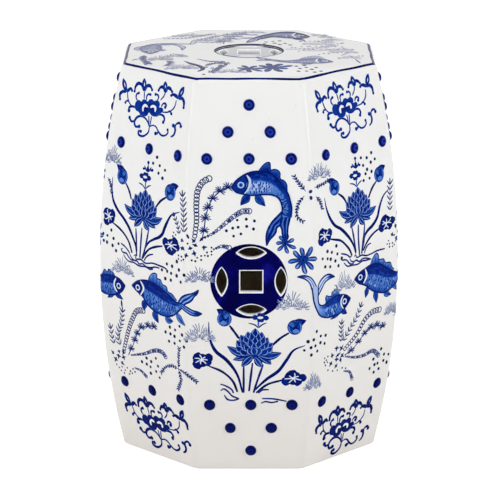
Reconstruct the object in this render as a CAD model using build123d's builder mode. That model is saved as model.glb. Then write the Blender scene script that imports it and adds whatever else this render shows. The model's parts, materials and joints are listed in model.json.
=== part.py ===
"""Eight-sided barrel garden stool in glazed stoneware.

A potter presses the wall as eight bowed panels and lutes them together on mitred edges. A crowned seat slab
closes the top, a flanged foot ring stiffens the open base, pierced coin medallions fill the lifting holes
and domed studs are stuck on in rows. Millimetres, +Z up, origin at the middle of the foot.
"""

import os
from math import cos, radians, sin, sqrt, tan

from build123d import *

# Body sizes
height = 458.0  # floor to the top of the seat's crown
seat_width = 285.0  # across flats where the facets meet the seat
belly_width = 343.0  # across flats at mid height
foot_width = 293.5  # across flats at the floor
wall = 8.0
arris_radius = 12.0  # softened corner between two facets
seat_thickness = 10.0  # slab at its edge
seat_crown = 3.0  # rise from the middle of a seat edge to the centre
seat_edge_radius = 8.0  # shoulder that rolls over from the wall to the seat
foot_edge_radius = 3.0  # wiped edge where the wall meets the floor
foot_thickness = 9.0
foot_flange = 24.0  # how far the foot ring reaches in from the wall

# Medallion sizes
medallion_diameter = 86.0
medallion_height = 231.0  # floor to the middle of the side medallions
seat_medallion_diameter = 78.0
seat_medallion_sink = 1.5  # how far the seat medallion lies below the seat round it
lute_gap = 0.15  # slip joint round a medallion
coin_square = 24.5
coin_petal_length = 31.5
coin_petal_width = 12.0
coin_petal_circle = 66.0  # diameter of the circle through the petals' middles
coin_drift = 2.5  # the side coins are cut a little to the right of their discs' middles
seat_petal_circle = 58.0
seat_petal_width = 9.0

# Stud sizes
stud_diameter = 12.4
stud_height = 3.2
stud_pitch = 46.5  # between neighbours in a row
stud_row_pitch = 29.2
stud_rows = 3
upper_stud_drop = 28.0  # seat edge to the top stud
lower_stud_rise = 23.0  # floor to the bottom stud
stud_drift = {  # groups set by hand off their regular places: to the right and up
    "front_lower": (2.0, 1.5),
    "front_right_upper": (6.5, 0.0),
    "front_right_lower": (2.0, 0.0),
    "front_left_upper": (2.5, 0.5),
    "front_left_lower": (5.5, 4.0),
}

# Eight facets, named as seen from the front, counted towards +X
facet_names = ["front", "front_right", "right", "back_right", "back", "back_left", "left", "front_left"]
facet_angle = 360 / len(facet_names)
pierced_facets = ["front", "back"]

# Levels and the bowed facet line that every piece shares
seat_edge_height = height - seat_crown
wall_top = seat_edge_height - seat_thickness
facet_arc = ThreePointArc((foot_width / 2, 0), (belly_width / 2, height / 2), (seat_width / 2, height))
bow_radius = facet_arc.radius
bow_centre = facet_arc.arc_center
crown_radius = (seat_width**2 / 4 + seat_crown**2) / (2 * seat_crown)


def facet_plane(index, level=0.0, across=0.0):
    """Plane lying on a facet: x runs along it to the right, z points out of it, at a level above the floor."""
    turn = radians(index * facet_angle)
    rise = (level - bow_centre.Y) / bow_radius
    reach = sqrt(1 - rise**2)
    apothem = bow_centre.X + bow_radius * reach
    along = Vector(cos(turn), sin(turn), 0)
    outward = Vector(sin(turn), -cos(turn), 0)
    return Plane(
        origin=outward * apothem + along * across + Vector(0, 0, level),
        x_dir=along,
        z_dir=outward * reach + Vector(0, 0, rise),
    )


def upright_plane(index):
    """Vertical plane through the stool's axis, facing the same way as a facet."""
    turn = radians(index * facet_angle)
    return Plane(origin=(0, 0, 0), x_dir=(cos(turn), sin(turn), 0), z_dir=(sin(turn), -cos(turn), 0))


def barrel(inset, corner_radius=0.0, base_radius=0.0):
    """Eight-sided barrel with every facet moved in by inset: four bowed silhouettes crossed with each other."""
    with BuildPart() as form:
        for turn in range(len(facet_names) // 2):
            with BuildSketch(upright_plane(turn)):
                with BuildLine():
                    right = ThreePointArc(
                        (foot_width / 2 - inset, 0),
                        (belly_width / 2 - inset, height / 2),
                        (seat_width / 2 - inset, height),
                    )
                    left = mirror(right, about=Plane.YZ)
                    Line(right @ 0, left @ 0)
                    Line(right @ 1, left @ 1)
                make_face()
            extrude(amount=belly_width, both=True, mode=Mode.INTERSECT if turn else Mode.ADD)
        if corner_radius:
            arrises = form.edges().filter_by(lambda edge: edge.bounding_box().size.Z > height / 2)
            fillet(arrises, corner_radius)
        if base_radius:
            base = form.faces().sort_by(Axis.Z)[0]
            fillet(base.edges(), base_radius)
    return form.part


def crown_section(reach, sink=0.0):
    """Upright half section of the crowned seat slab, from the axis out to reach, its top lowered by sink."""
    rim_drop = crown_radius - sqrt(crown_radius**2 - reach**2)
    crest = height - sink
    with BuildSketch(Plane.XZ) as section:
        with BuildLine():
            top = TangentArc((0, crest), (reach, crest - rim_drop), tangent=(1, 0))
            Polyline(top @ 1, (reach, wall_top), (0, wall_top), top @ 0)
        make_face()
    return section.sketch


def coin_petal(petal_width):
    """Pointed petal of an old coin: the overlap of two circles, standing across the line to the coin's middle."""
    arc_radius = (coin_petal_length**2 + petal_width**2) / (4 * petal_width)
    arc_offset = arc_radius - petal_width / 2
    with BuildSketch() as petal:
        with Locations((arc_offset, 0)):
            Circle(arc_radius)
        with Locations((-arc_offset, 0)):
            Circle(arc_radius, mode=Mode.INTERSECT)
    return petal.sketch


def coin_holes(petal, petal_circle):
    """Old coin piercing: a square hole with four petals round it."""
    with BuildSketch() as holes:
        Rectangle(coin_square, coin_square)
        with PolarLocations(petal_circle / 2, 4):
            add(petal)
    return holes.sketch


def write(piece, name):
    """Label a finished piece and write it as one file."""
    piece.part.label = name
    export_step(piece.part, f"parts/{name}.step")
    print(name, len(piece.solids()), "solids", round(piece.part.volume / 1000, 1), "cm3")


os.makedirs("parts", exist_ok=True)
outside = barrel(0.0, arris_radius, foot_edge_radius)
inside = barrel(wall)

# Wall panels: a 45 degree sector of the shell each, bored for a medallion at the front and back
half_sector = facet_angle / 2
for index, name in enumerate(facet_names):
    sector_half_width = belly_width * tan(radians(half_sector))
    with BuildPart() as panel:
        with BuildSketch(Plane.XY.rotated((0, 0, index * facet_angle))):
            Polygon((0, 0), (sector_half_width, -belly_width), (-sector_half_width, -belly_width), align=None)
        extrude(amount=wall_top)
        add(outside, mode=Mode.INTERSECT)
        add(inside, mode=Mode.SUBTRACT)
        if name in pierced_facets:
            with BuildSketch(upright_plane(index)):
                with Locations((0, medallion_height)):
                    Circle(medallion_diameter / 2 + lute_gap)
            extrude(amount=belly_width, mode=Mode.SUBTRACT)
    write(panel, f"wall_{name}")

# Side medallions: pierced, bowed discs that finish flush with the wall inside and out
side_coin = coin_holes(coin_petal(coin_petal_width), coin_petal_circle)
for index, name in enumerate(facet_names):
    if name not in pierced_facets:
        continue
    face = upright_plane(index)
    coin_plane = Plane(origin=(0, 0, medallion_height), x_dir=face.x_dir, z_dir=face.z_dir)
    with BuildPart() as medallion:
        with BuildSketch(coin_plane):
            Circle(medallion_diameter / 2)
        extrude(amount=belly_width)
        add(outside, mode=Mode.INTERSECT)
        add(inside, mode=Mode.SUBTRACT)
        with BuildSketch(coin_plane):
            with Locations((coin_drift, 0)):
                add(side_coin)
        extrude(amount=belly_width, mode=Mode.SUBTRACT)
    write(medallion, f"{name}_medallion")

# Seat: crowned slab laid on the wall, its edge carrying on the line of the facets
with BuildPart() as seat:
    add(crown_section(belly_width / 2))
    revolve(axis=Axis.Z)
    add(outside, mode=Mode.INTERSECT)
    crown_face = seat.faces().sort_by(Axis.Z)[-1]
    fillet(crown_face.edges(), seat_edge_radius)
    with Locations((0, 0, height)):
        Hole(seat_medallion_diameter / 2 + lute_gap)
write(seat, "seat")

# Seat medallion: the middle of the crown, a little sunk and pierced as a finger hold
seat_coin = coin_holes(coin_petal(seat_petal_width), seat_petal_circle)
with BuildPart() as seat_medallion:
    add(crown_section(seat_medallion_diameter / 2, seat_medallion_sink))
    revolve(axis=Axis.Z)
    with BuildSketch(Plane.XY.offset(height)):
        add(seat_coin)
    extrude(amount=-height, mode=Mode.SUBTRACT)
write(seat_medallion, "seat_medallion")

# Foot ring: flange luted inside the wall at the floor, open in the middle
with BuildPart() as foot_ring:
    with BuildSketch():
        Circle(belly_width / 2)
    extrude(amount=foot_thickness)
    add(inside, mode=Mode.INTERSECT)
    with BuildSketch():
        opening = foot_width / 2 - wall - foot_flange
        RegularPolygon(opening, len(facet_names), major_radius=False, rotation=half_sector)
    extrude(amount=foot_thickness, mode=Mode.SUBTRACT)
write(foot_ring, "foot_ring")

# Studs: one domed boss, repeated in rows that widen towards the belly
with BuildPart() as stud:
    with BuildSketch(Plane.XZ):
        with BuildLine():
            dome = TangentArc((0, stud_height), (stud_diameter / 2, 0), tangent=(1, 0))
            Polyline(dome @ 1, (0, 0), dome @ 0)
        make_face()
    revolve(axis=Axis.Z)

for index, name in enumerate(facet_names):
    full_triangle = index % 2 == 0
    first_row = 0 if full_triangle else stud_rows - 1
    row_levels = {
        "upper": [seat_edge_height - upper_stud_drop - row * stud_row_pitch for row in range(stud_rows)],
        "lower": [lower_stud_rise + row * stud_row_pitch for row in range(stud_rows)],
    }
    for end, levels in row_levels.items():
        drift, lift = stud_drift.get(f"{name}_{end}", (0.0, 0.0))
        places = [
            facet_plane(index, levels[row] + lift, (column - row / 2) * stud_pitch + drift).location
            for row in range(first_row, stud_rows)
            for column in range(row + 1)
        ]
        with BuildPart() as studs:
            with Locations(*places):
                add(stud.part)
        write(studs, f"{name}_{end}_studs")
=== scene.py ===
# %% [markdown]
# A glazed garden stool, painted in underglaze blue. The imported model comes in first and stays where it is:
# eight luted wall panels, a seat, a foot ring, three pierced coin medallions and rows of studs. Everything
# made below lies on those pieces, in metres.

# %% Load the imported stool
import json
import math

import bmesh
import bpy
import numpy as np
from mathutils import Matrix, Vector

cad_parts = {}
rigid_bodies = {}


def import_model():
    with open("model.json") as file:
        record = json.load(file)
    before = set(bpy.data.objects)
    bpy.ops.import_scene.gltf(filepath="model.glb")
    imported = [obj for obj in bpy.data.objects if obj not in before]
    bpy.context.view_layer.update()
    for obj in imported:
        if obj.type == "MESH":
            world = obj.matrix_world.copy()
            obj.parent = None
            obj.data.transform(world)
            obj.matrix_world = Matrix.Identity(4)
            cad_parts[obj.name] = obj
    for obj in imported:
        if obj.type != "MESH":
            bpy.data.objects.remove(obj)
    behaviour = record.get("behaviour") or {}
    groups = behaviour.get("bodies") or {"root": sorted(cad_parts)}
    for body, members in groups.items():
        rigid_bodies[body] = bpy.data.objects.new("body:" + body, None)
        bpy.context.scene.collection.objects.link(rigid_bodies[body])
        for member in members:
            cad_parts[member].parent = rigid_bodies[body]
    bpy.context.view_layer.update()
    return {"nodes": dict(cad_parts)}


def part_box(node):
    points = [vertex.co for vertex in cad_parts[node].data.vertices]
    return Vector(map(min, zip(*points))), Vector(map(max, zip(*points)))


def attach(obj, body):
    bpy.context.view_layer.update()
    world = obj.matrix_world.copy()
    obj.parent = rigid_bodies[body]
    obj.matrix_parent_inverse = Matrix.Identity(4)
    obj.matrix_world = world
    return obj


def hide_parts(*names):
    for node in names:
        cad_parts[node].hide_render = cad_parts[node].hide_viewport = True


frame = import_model()

# %% [markdown]
# The body is an eight-sided barrel. Each side is flat across and bowed up and down along one circle, so
# three widths and the height say everything: the circle passes through the foot, the belly and the seat
# edge.

# %% Sizes of the body
MM = 0.001
SIDES = 8
TURN = 2 * np.pi / SIDES
HALF_TURN_TAN = math.tan(TURN / 2)
HEIGHT = 0.458
SEAT_WIDTH, BELLY_WIDTH, FOOT_WIDTH = 0.285, 0.343, 0.2935
WALL = 0.008
ARRIS = 0.012
SEAT_EDGE = 0.008
FOOT_EDGE = 0.003
SEAT_CROWN = 0.003
SEAT_UNDER = float(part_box("seat")[0][2])
COIN_LOW, COIN_HIGH = (np.array(corner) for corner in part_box("front_medallion"))
COIN_RADIUS = float(COIN_HIGH[0] - COIN_LOW[0]) / 2
COIN_LEVEL = float(COIN_HIGH[2] + COIN_LOW[2]) / 2
SEAT_COIN_RADIUS = float(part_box("seat_medallion")[1][0])
SLIP_JOINT = 0.00015


def circle_through(first, second, third):
    """Centre and radius of the circle through three points, where their perpendicular bisectors cross."""
    (ax, ay), (bx, by), (cx, cy) = first, second, third
    system = np.array([[bx - ax, by - ay], [cx - ax, cy - ay]])
    halves = np.array([(bx**2 - ax**2 + by**2 - ay**2) / 2, (cx**2 - ax**2 + cy**2 - ay**2) / 2])
    centre = np.linalg.solve(system, halves)
    return centre, math.hypot(ax - centre[0], ay - centre[1])


BOW_CENTRE, BOW_RADIUS = circle_through(
    (FOOT_WIDTH / 2, 0), (BELLY_WIDTH / 2, HEIGHT / 2), (SEAT_WIDTH / 2, HEIGHT)
)
CROWN_RADIUS = (SEAT_WIDTH**2 / 4 + SEAT_CROWN**2) / (2 * SEAT_CROWN)
CROWN_CENTRE = np.array([0.0, HEIGHT - CROWN_RADIUS])


def apothem(level):
    """Distance from the axis to the middle of a side at a level: the bow circle's reach there."""
    return BOW_CENTRE[0] + np.sqrt(BOW_RADIUS**2 - (level - BOW_CENTRE[1]) ** 2)


def crown_level(x, y):
    """Height of the crowned seat over a plan point: a very large sphere that touches the full height."""
    return HEIGHT - CROWN_RADIUS + np.sqrt(CROWN_RADIUS**2 - x**2 - y**2)


print("bow radius", round(BOW_RADIUS, 4), "crown radius", round(CROWN_RADIUS, 3))

# %% [markdown]
# Every surface here is a grid of numbers first and a mesh second. One helper turns vertex and face arrays
# into an object, welds nothing and moves nothing; another makes the quads of a grid that may close on
# itself.


# %% Mesh helpers
def grid_quads(rows, columns, close_rows=False, close_columns=False):
    """Corners of a grid's quads, its vertices running row by row; closing joins the last to the first."""
    row = np.arange(rows if close_rows else rows - 1)[:, None]
    column = np.arange(columns if close_columns else columns - 1)[None, :]
    next_row = (row + 1) % rows
    next_column = (column + 1) % columns
    corners = (row * columns + column, row * columns + next_column,
               next_row * columns + next_column, next_row * columns + column)
    return np.stack(np.broadcast_arrays(*corners), -1).reshape(-1, 4)


def mesh_object(name, points, faces, materials, sharp_angle=40.0):
    """New object at the origin from vertex and face arrays, smooth shaded with its hard edges kept."""
    mesh = bpy.data.meshes.new(name)
    mesh.from_pydata(np.asarray(points).tolist(), [], [list(map(int, face)) for face in faces])
    mesh.validate()
    form = bmesh.new()
    form.from_mesh(mesh)
    bmesh.ops.recalc_face_normals(form, faces=form.faces)
    form.to_mesh(mesh)
    form.free()
    mesh.shade_smooth()
    if sharp_angle is not None:
        mesh.set_sharp_from_angle(angle=math.radians(sharp_angle))
    piece = bpy.data.objects.new(name, mesh)
    bpy.context.scene.collection.objects.link(piece)
    for material in materials:
        mesh.materials.append(material)
    return piece


def set_attribute(piece, name, values):
    """Store one number per vertex under a name that a material can read."""
    layer = piece.data.attributes.new(name, "FLOAT", "POINT")
    layer.data.foreach_set("value", np.asarray(values, dtype=np.float32).ravel())


# %% [markdown]
# Materials are built from nodes. These small helpers add a node, fill its inputs and link what is a socket,
# so that each finish below reads as a list of what it is made of.


# %% Node helpers
def add_node(tree, kind, settings=None, **inputs):
    """Add a node; plain values fill its sockets and sockets are linked to them."""
    node = tree.nodes.new(kind)
    for key, value in (settings or {}).items():
        setattr(node, key, value)
    for key, value in inputs.items():
        name = int(key[1:]) if key[0] == "i" and key[1:].isdigit() else key.replace("_", " ")
        socket = node.inputs[name]
        if isinstance(value, bpy.types.NodeSocket):
            tree.links.new(value, socket)
        else:
            socket.default_value = value
    return node


def math_node(tree, operation, first, second, third=0.0):
    """One arithmetic step on two or three numbers or sockets."""
    step = add_node(tree, "ShaderNodeMath", {"operation": operation}, i0=first, i1=second, i2=third)
    return step.outputs[0]


def noise(tree, place, scale, detail, distortion=0.0):
    """Clouds from 0 to 1."""
    settings = {"Scale": scale, "Detail": detail, "Distortion": distortion}
    return add_node(tree, "ShaderNodeTexNoise", Vector=place, **settings).outputs[0]


def attribute(tree, name):
    """Number stored with each vertex under a name."""
    return add_node(tree, "ShaderNodeAttribute", {"attribute_name": name}).outputs["Fac"]


def colour_ramp(tree, factor, stops):
    """Colour ramp with stops of (place, colour written as screen values 0 to 255)."""
    ramp = add_node(tree, "ShaderNodeValToRGB", Fac=factor)
    elements = ramp.color_ramp.elements
    while len(elements) < len(stops):
        elements.new(1.0)
    for element, (place, colour) in zip(elements, stops):
        element.position = place
        element.color = (*screen(colour), 1.0)
    return ramp.outputs["Color"]


def screen(colour):
    """Linear colour from screen values 0 to 255: the usual display curve undone."""
    value = np.asarray(colour, dtype=float) / 255
    linear = np.where(value <= 0.04045, value / 12.92, ((value + 0.055) / 1.055) ** 2.4)
    return tuple(float(v) for v in linear)


def new_material(name):
    """Empty node material with a shader and its output."""
    material = bpy.data.materials.new(name)
    material.use_nodes = True
    tree = material.node_tree
    tree.nodes.clear()
    shader = add_node(tree, "ShaderNodeBsdfPrincipled")
    output = add_node(tree, "ShaderNodeOutputMaterial")
    tree.links.new(shader.outputs[0], output.inputs["Surface"])
    return material, tree, shader


def object_place(tree):
    """Object coordinates, which stay with the piece from every side."""
    return add_node(tree, "ShaderNodeTexCoord").outputs["Object"]


def glaze_surface(tree, shader, place, specular, strength=0.02):
    """Glassy skin of a dipped glaze: smooth, with a faint slow ripple and slightly uneven gloss."""
    ripple = noise(tree, place, 38.0, 2.0)
    bump = add_node(tree, "ShaderNodeBump", Strength=strength, Distance=0.002, Height=ripple)
    tree.links.new(bump.outputs[0], shader.inputs["Normal"])
    cloud = noise(tree, place, 14.0, 3.0)
    gloss = add_node(tree, "ShaderNodeMapRange", Value=cloud, To_Min=0.07, To_Max=0.13)
    tree.links.new(gloss.outputs[0], shader.inputs["Roughness"])
    shader.inputs["IOR"].default_value = 1.5
    shader.inputs["Specular IOR Level"].default_value = specular


# %% [markdown]
# The white is a clear glaze over pale stoneware. Towards the foot it is painted a little darker and warmer,
# as painted shade where less light reaches the lower wall, and tiny iron specks show through. The clay inside
# and under the foot is left bare and has a dry, sandy grain.


# %% White glaze and bare clay
WHITE_TOP = (238, 238, 237)
SHADED_FOOT_WHITE = (228, 224, 219)


def make_white_glaze():
    """White glaze painted darker and warmer towards the foot as painted shade, with faint clouds and sparse
    specks.
    """
    material, tree, shader = new_material("white_glaze")
    place = object_place(tree)
    level = add_node(tree, "ShaderNodeSeparateXYZ", Vector=place).outputs[2]
    # Painted shade: over the lowest 0.3 m the white turns darker and warmer towards the foot.
    rise = add_node(tree, "ShaderNodeMapRange", Value=level, From_Min=0.0, From_Max=0.3).outputs[0]
    cloud = noise(tree, place, 9.0, 4.0)
    sway = math_node(tree, "MULTIPLY_ADD", cloud, 0.35, -0.175)
    blend = math_node(tree, "ADD", rise, sway)
    white = colour_ramp(tree, blend, [(0.0, SHADED_FOOT_WHITE), (1.0, WHITE_TOP)])
    speck = add_node(tree, "ShaderNodeTexVoronoi", Vector=place, Scale=90.0).outputs["Distance"]
    dust = add_node(tree, "ShaderNodeMapRange", Value=speck, From_Min=0.03, From_Max=0.05).outputs[0]
    body = add_node(tree, "ShaderNodeMix", {"data_type": "RGBA"}, Factor=dust)
    body.inputs["A"].default_value = (*screen((196, 188, 176)), 1.0)
    tree.links.new(white, body.inputs["B"])
    tree.links.new(body.outputs["Result"], shader.inputs["Base Color"])
    glaze_surface(tree, shader, place, 0.2)
    return material


def make_bare_clay():
    """Unglazed stoneware: buff, dry, with sandy grain."""
    material, tree, shader = new_material("bare_clay")
    place = object_place(tree)
    sand = noise(tree, place, 420.0, 5.0)
    wash = noise(tree, place, 18.0, 3.0)
    mixed = math_node(
        tree, "ADD", math_node(tree, "MULTIPLY", sand, 0.5), math_node(tree, "MULTIPLY", wash, 0.5)
    )
    colour = colour_ramp(tree, mixed, [(0.3, (230, 215, 191)), (0.7, (246, 234, 214))])
    tree.links.new(colour, shader.inputs["Base Color"])
    shader.inputs["Roughness"].default_value = 0.85
    bump = add_node(tree, "ShaderNodeBump", Strength=0.3, Distance=0.0005, Height=sand)
    tree.links.new(bump.outputs[0], shader.inputs["Normal"])
    return material


white_glaze = make_white_glaze()
bare_clay = make_bare_clay()
print("finishes:", white_glaze.name, bare_clay.name)

# %% [markdown]
# On the real stool one glaze runs over wall and seat and hides every luted seam, so panels and seat are
# shown as one skin. A profile runs from the foot up the outside, over the rounded seat edge, in across the
# crown, down the finger hole, and back down the inside. Carried round an octagon with rounded corners it
# makes a closed shell. Straight columns beside the middle of each side stay at fixed distances, so that
# round bores can be let in.


# %% Columns round the octagon
WINDOW = 0.048
WINDOW_STEPS = 16
ARC_STEPS = 6
window_columns = np.linspace(-WINDOW, WINDOW, WINDOW_STEPS + 1)
COLUMNS_PER_SIDE = 1 + len(window_columns) + 1 + (ARC_STEPS - 1)


def octagon_ring(reach, corner):
    """Rounded octagon for each row: flats at the reach from the axis, corners of the given radius.

    Each side gives its left end, fixed columns, right end and the points of the arc to the next side: the arc
    point at turn f is the arc's centre plus corner * (sin f, cos f), along the side and outward.
    """
    reach = np.asarray(reach, dtype=float)[:, None]
    corner = np.asarray(corner, dtype=float)[:, None]
    half_flat = (reach - corner) * HALF_TURN_TAN
    bend = np.linspace(0, TURN, ARC_STEPS + 1)[1:-1][None, :]
    ones = np.ones((1, len(window_columns)))
    along = np.hstack(
        [-half_flat, ones * window_columns + 0 * reach, half_flat, half_flat + corner * np.sin(bend)]
    )
    outward = np.hstack([reach, reach * ones, reach, reach - corner + corner * np.cos(bend)])
    turn = TURN * np.arange(SIDES)[:, None, None]
    x = np.cos(turn) * along + np.sin(turn) * outward
    y = np.sin(turn) * along - np.cos(turn) * outward
    plan = np.stack([x, y], -1)
    return plan.transpose(1, 0, 2, 3).reshape(len(reach), SIDES * COLUMNS_PER_SIDE, 2)


# %% Rows of the profile
FOOT_STEPS, EDGE_STEPS = 5, 13
LOWER_STEPS, UPPER_STEPS = 31, 28
INNER_UPPER_STEPS, INNER_LOWER_STEPS = 18, 20


def arc_points(centre, radius, start, end, steps):
    """Points of an arc in the (reach, level) section between two angles."""
    angle = np.linspace(start, end, steps)
    return centre[0] + radius * np.cos(angle), centre[1] + radius * np.sin(angle)


def rounding_centre(radius):
    """Centre of the seat edge's rounding: as far inside the bow circle as inside the crown circle."""
    reach = SEAT_WIDTH / 2
    for _ in range(30):
        level = CROWN_CENTRE[1] + math.sqrt((CROWN_RADIUS - radius) ** 2 - reach**2)
        reach = BOW_CENTRE[0] + math.sqrt((BOW_RADIUS - radius) ** 2 - (level - BOW_CENTRE[1]) ** 2)
    return np.array([reach, level])


EDGE_CENTRE = rounding_centre(SEAT_EDGE)
EDGE_START = math.atan2(EDGE_CENTRE[1] - BOW_CENTRE[1], EDGE_CENTRE[0] - BOW_CENTRE[0])
EDGE_END = math.atan2(EDGE_CENTRE[1] - CROWN_CENTRE[1], EDGE_CENTRE[0])
window_levels = COIN_LEVEL + window_columns
foot_reach, foot_level = arc_points(
    (float(apothem(FOOT_EDGE)) - FOOT_EDGE, FOOT_EDGE), FOOT_EDGE, -np.pi / 2, 0.0, FOOT_STEPS
)
edge_reach, edge_level = arc_points(EDGE_CENTRE, SEAT_EDGE, EDGE_START, EDGE_END, EDGE_STEPS)
outer_levels = np.concatenate([
    np.linspace(FOOT_EDGE, window_levels[0], LOWER_STEPS)[1:-1],
    window_levels,
    np.linspace(window_levels[-1], edge_level[0], UPPER_STEPS)[1:-1],
])
inner_levels = np.concatenate([
    np.linspace(SEAT_UNDER, window_levels[-1], INNER_UPPER_STEPS)[:-1],
    window_levels[::-1],
    np.linspace(window_levels[0], 0.0, INNER_LOWER_STEPS)[1:],
])
skin_reach = np.concatenate([foot_reach, apothem(outer_levels), edge_reach])
skin_level = np.concatenate([foot_level, outer_levels, edge_level])
skin_corner = ARRIS - np.maximum(apothem(np.clip(skin_level, 0, HEIGHT)) - skin_reach, 0)
outside = octagon_ring(skin_reach, skin_corner)
inside = octagon_ring(apothem(inner_levels) - WALL, np.full(len(inner_levels), ARRIS - WALL))
print("profile rows:", len(skin_level) + len(inner_levels), "columns:", outside.shape[1])

# %% [markdown]
# The crown and the underside of the seat run from the octagon to the round finger hole. A straight blend
# between the two outlines fills them, with the height taken from the crown. Then two square windows in the
# wall, front and back, are swapped for rings of quads that end in a circle, inside and out, joined by the
# wall of the bore.


# %% Glazed body
CROWN_STEPS, UNDER_STEPS = 18, 10
BORE_STEPS = 4


def blend_rings(start, end, steps):
    """Rings that go in equal steps from one outline to another, both ends left out."""
    share = np.linspace(0, 1, steps + 1)[1:-1, None, None]
    return start[None] * (1 - share) + end[None] * share


def at_level(rings, level):
    """Stand plan rings up at a level, or at one level per ring."""
    height = np.broadcast_to(np.reshape(level, (-1, 1, 1)), (*rings.shape[:2], 1))
    return np.concatenate([rings, height], -1)


def body_shell():
    """Rings of the whole shell: up the outside, over the seat, down its hole and down the inside."""
    rim = outside[-1]
    angle = np.arctan2(rim[:, 1], rim[:, 0])
    hole = (SEAT_COIN_RADIUS + SLIP_JOINT) * np.stack([np.cos(angle), np.sin(angle)], -1)
    crown = np.concatenate([blend_rings(rim, hole, CROWN_STEPS), hole[None]])
    crown_height = crown_level(crown[..., 0], crown[..., 1])[..., None]
    under = np.concatenate([hole[None], blend_rings(hole, inside[0], UNDER_STEPS)])
    return np.concatenate([
        at_level(outside, skin_level),
        np.concatenate([crown, crown_height], -1),
        at_level(under, SEAT_UNDER),
        at_level(inside, inner_levels),
    ])


def window_rows(levels, first_row):
    """Row numbers of a surface's window, from its lowest to its highest level."""
    in_window = (levels > window_levels[0] - 1e-9) & (levels < window_levels[-1] + 1e-9)
    rows = first_row + np.flatnonzero(in_window)
    return rows if levels[-1] > levels[0] else rows[::-1]


def side_point(side, along, level, inset=0.0):
    """Point on a side, moved in by inset."""
    reach = apothem(level) - inset
    turn = TURN * side
    x = np.cos(turn) * along + np.sin(turn) * reach
    y = np.sin(turn) * along - np.cos(turn) * reach
    return np.stack(np.broadcast_arrays(x, y, level), -1)


def bore_window(rows, side, columns, inset, start):
    """Ring of quads from a square window's border, which is already in the grid, in to a circle.

    Border points keep their bearing from the coin's middle, so each spoke runs straight in to the circle.
    """
    grid = rows[:, None] * columns + side * COLUMNS_PER_SIDE + 1 + np.arange(WINDOW_STEPS + 1)[None, :]
    border = np.concatenate([grid[0, :-1], grid[:-1, -1], grid[-1, :0:-1], grid[:0:-1, 0]])
    square = np.stack(np.meshgrid(window_columns, window_columns), -1)
    edge = np.concatenate([square[0, :-1], square[:-1, -1], square[-1, :0:-1], square[:0:-1, 0]])
    circle = edge / np.linalg.norm(edge, axis=1, keepdims=True) * (COIN_RADIUS + SLIP_JOINT)
    share = np.linspace(0, 1, BORE_STEPS + 1)[1:, None, None]
    spokes = edge[None] * (1 - share) + circle[None] * share
    points = side_point(side, spokes[..., 0], COIN_LEVEL + spokes[..., 1], inset)
    index = np.concatenate([border, start + np.arange(points.shape[0] * points.shape[1])])
    quads = index[grid_quads(BORE_STEPS + 1, len(border), close_columns=True)]
    return points.reshape(-1, 3), quads, index[-len(border):]


def make_glazed_body():
    """Closed shell of wall and seat with a bore at the front and back; the inside is bare clay."""
    rings = body_shell()
    rows, columns = rings.shape[:2]
    points = [rings.reshape(-1, 3)]
    quads = grid_quads(rows, columns, close_rows=True, close_columns=True)
    inner_start = rows - len(inner_levels)
    outer_window = window_rows(skin_level, 0)
    inner_window = window_rows(inner_levels, inner_start)
    keep = np.ones((rows, columns), dtype=bool)
    patches = []
    count = rows * columns
    for side in (0, SIDES // 2):
        span = side * COLUMNS_PER_SIDE + 1 + np.arange(WINDOW_STEPS)
        circles = []
        for window, inset in ((outer_window, 0.0), (inner_window, WALL)):
            keep[np.sort(window)[:-1, None], span[None, :]] = False
            extra, ring_quads, circle = bore_window(window, side, columns, inset, count)
            points.append(extra)
            patches.append((ring_quads, inset > 0))
            circles.append(circle)
            count += len(extra)
        bore = np.stack([circles[0], circles[1]]).reshape(-1)
        patches.append((bore[grid_quads(2, len(circles[0]), close_columns=True)], True))
    clay = np.zeros((rows, columns), dtype=bool)
    clay[len(skin_level) + CROWN_STEPS:] = True
    faces = np.concatenate([quads[keep.ravel()]] + [patch for patch, _ in patches])
    finish = np.concatenate([clay.ravel()[keep.ravel()]] + [np.full(len(p), inner) for p, inner in patches])
    piece = mesh_object("glazed_body", np.concatenate(points), faces, [white_glaze, bare_clay])
    piece.data.polygons.foreach_set("material_index", finish.astype(np.int32))
    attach(piece, "root")
    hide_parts("seat", *[node for node in frame["nodes"] if node.startswith("wall_")])
    return piece


glazed_body = make_glazed_body()
print("glazed body:", len(glazed_body.data.vertices), "vertices", len(glazed_body.data.polygons), "quads")

# %% [markdown]
# The medallions are cut like old coins: a square hole and four pointed petals. Round the middle, each spoke
# meets the square, then a petal's inner arc, its outer arc and the rim. Where a spoke misses the petals,
# both arcs close up to one line, so two ring grids make the pierced disc. The cut edges are softened by
# sinking the face near them.


# %% Pierced coins
COIN_SQUARE = 0.0245
PETAL_LENGTH = 0.0315
COIN_DRIFT = 0.0025
SEAT_COIN_SINK = 0.0015
COIN_SOFT = 0.0008
SIDE_PETALS = {"petal_circle": 0.066, "petal_width": 0.012}
SEAT_PETALS = {"petal_circle": 0.058, "petal_width": 0.009}
HUB_EASE = np.array([0, 0.025, 0.07, 0.15, 0.3, 0.5, 0.7, 0.85, 0.93, 0.975, 1])
RIM_EASE = np.array([0, 0.06, 0.15, 0.3, 0.5, 0.75, 1])


def petal_arcs(petal_circle, petal_width):
    """Middle, offset and radius of a petal's arcs: their chord is its length, their two rises its width."""
    radius = (PETAL_LENGTH**2 + petal_width**2) / (4 * petal_width)
    return petal_circle / 2, radius - petal_width / 2, radius


def cut_distance(p, q, middle, offset, radius):
    """Distance from the nearest cut edge: folding the plane takes the square and four petals at once."""
    far = np.maximum(np.abs(p), np.abs(q))
    near = np.minimum(np.abs(p), np.abs(q))
    petal = np.maximum(np.hypot(far - middle + offset, near), np.hypot(far - middle - offset, near)) - radius
    return np.minimum(far - COIN_SQUARE / 2, petal)


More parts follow.
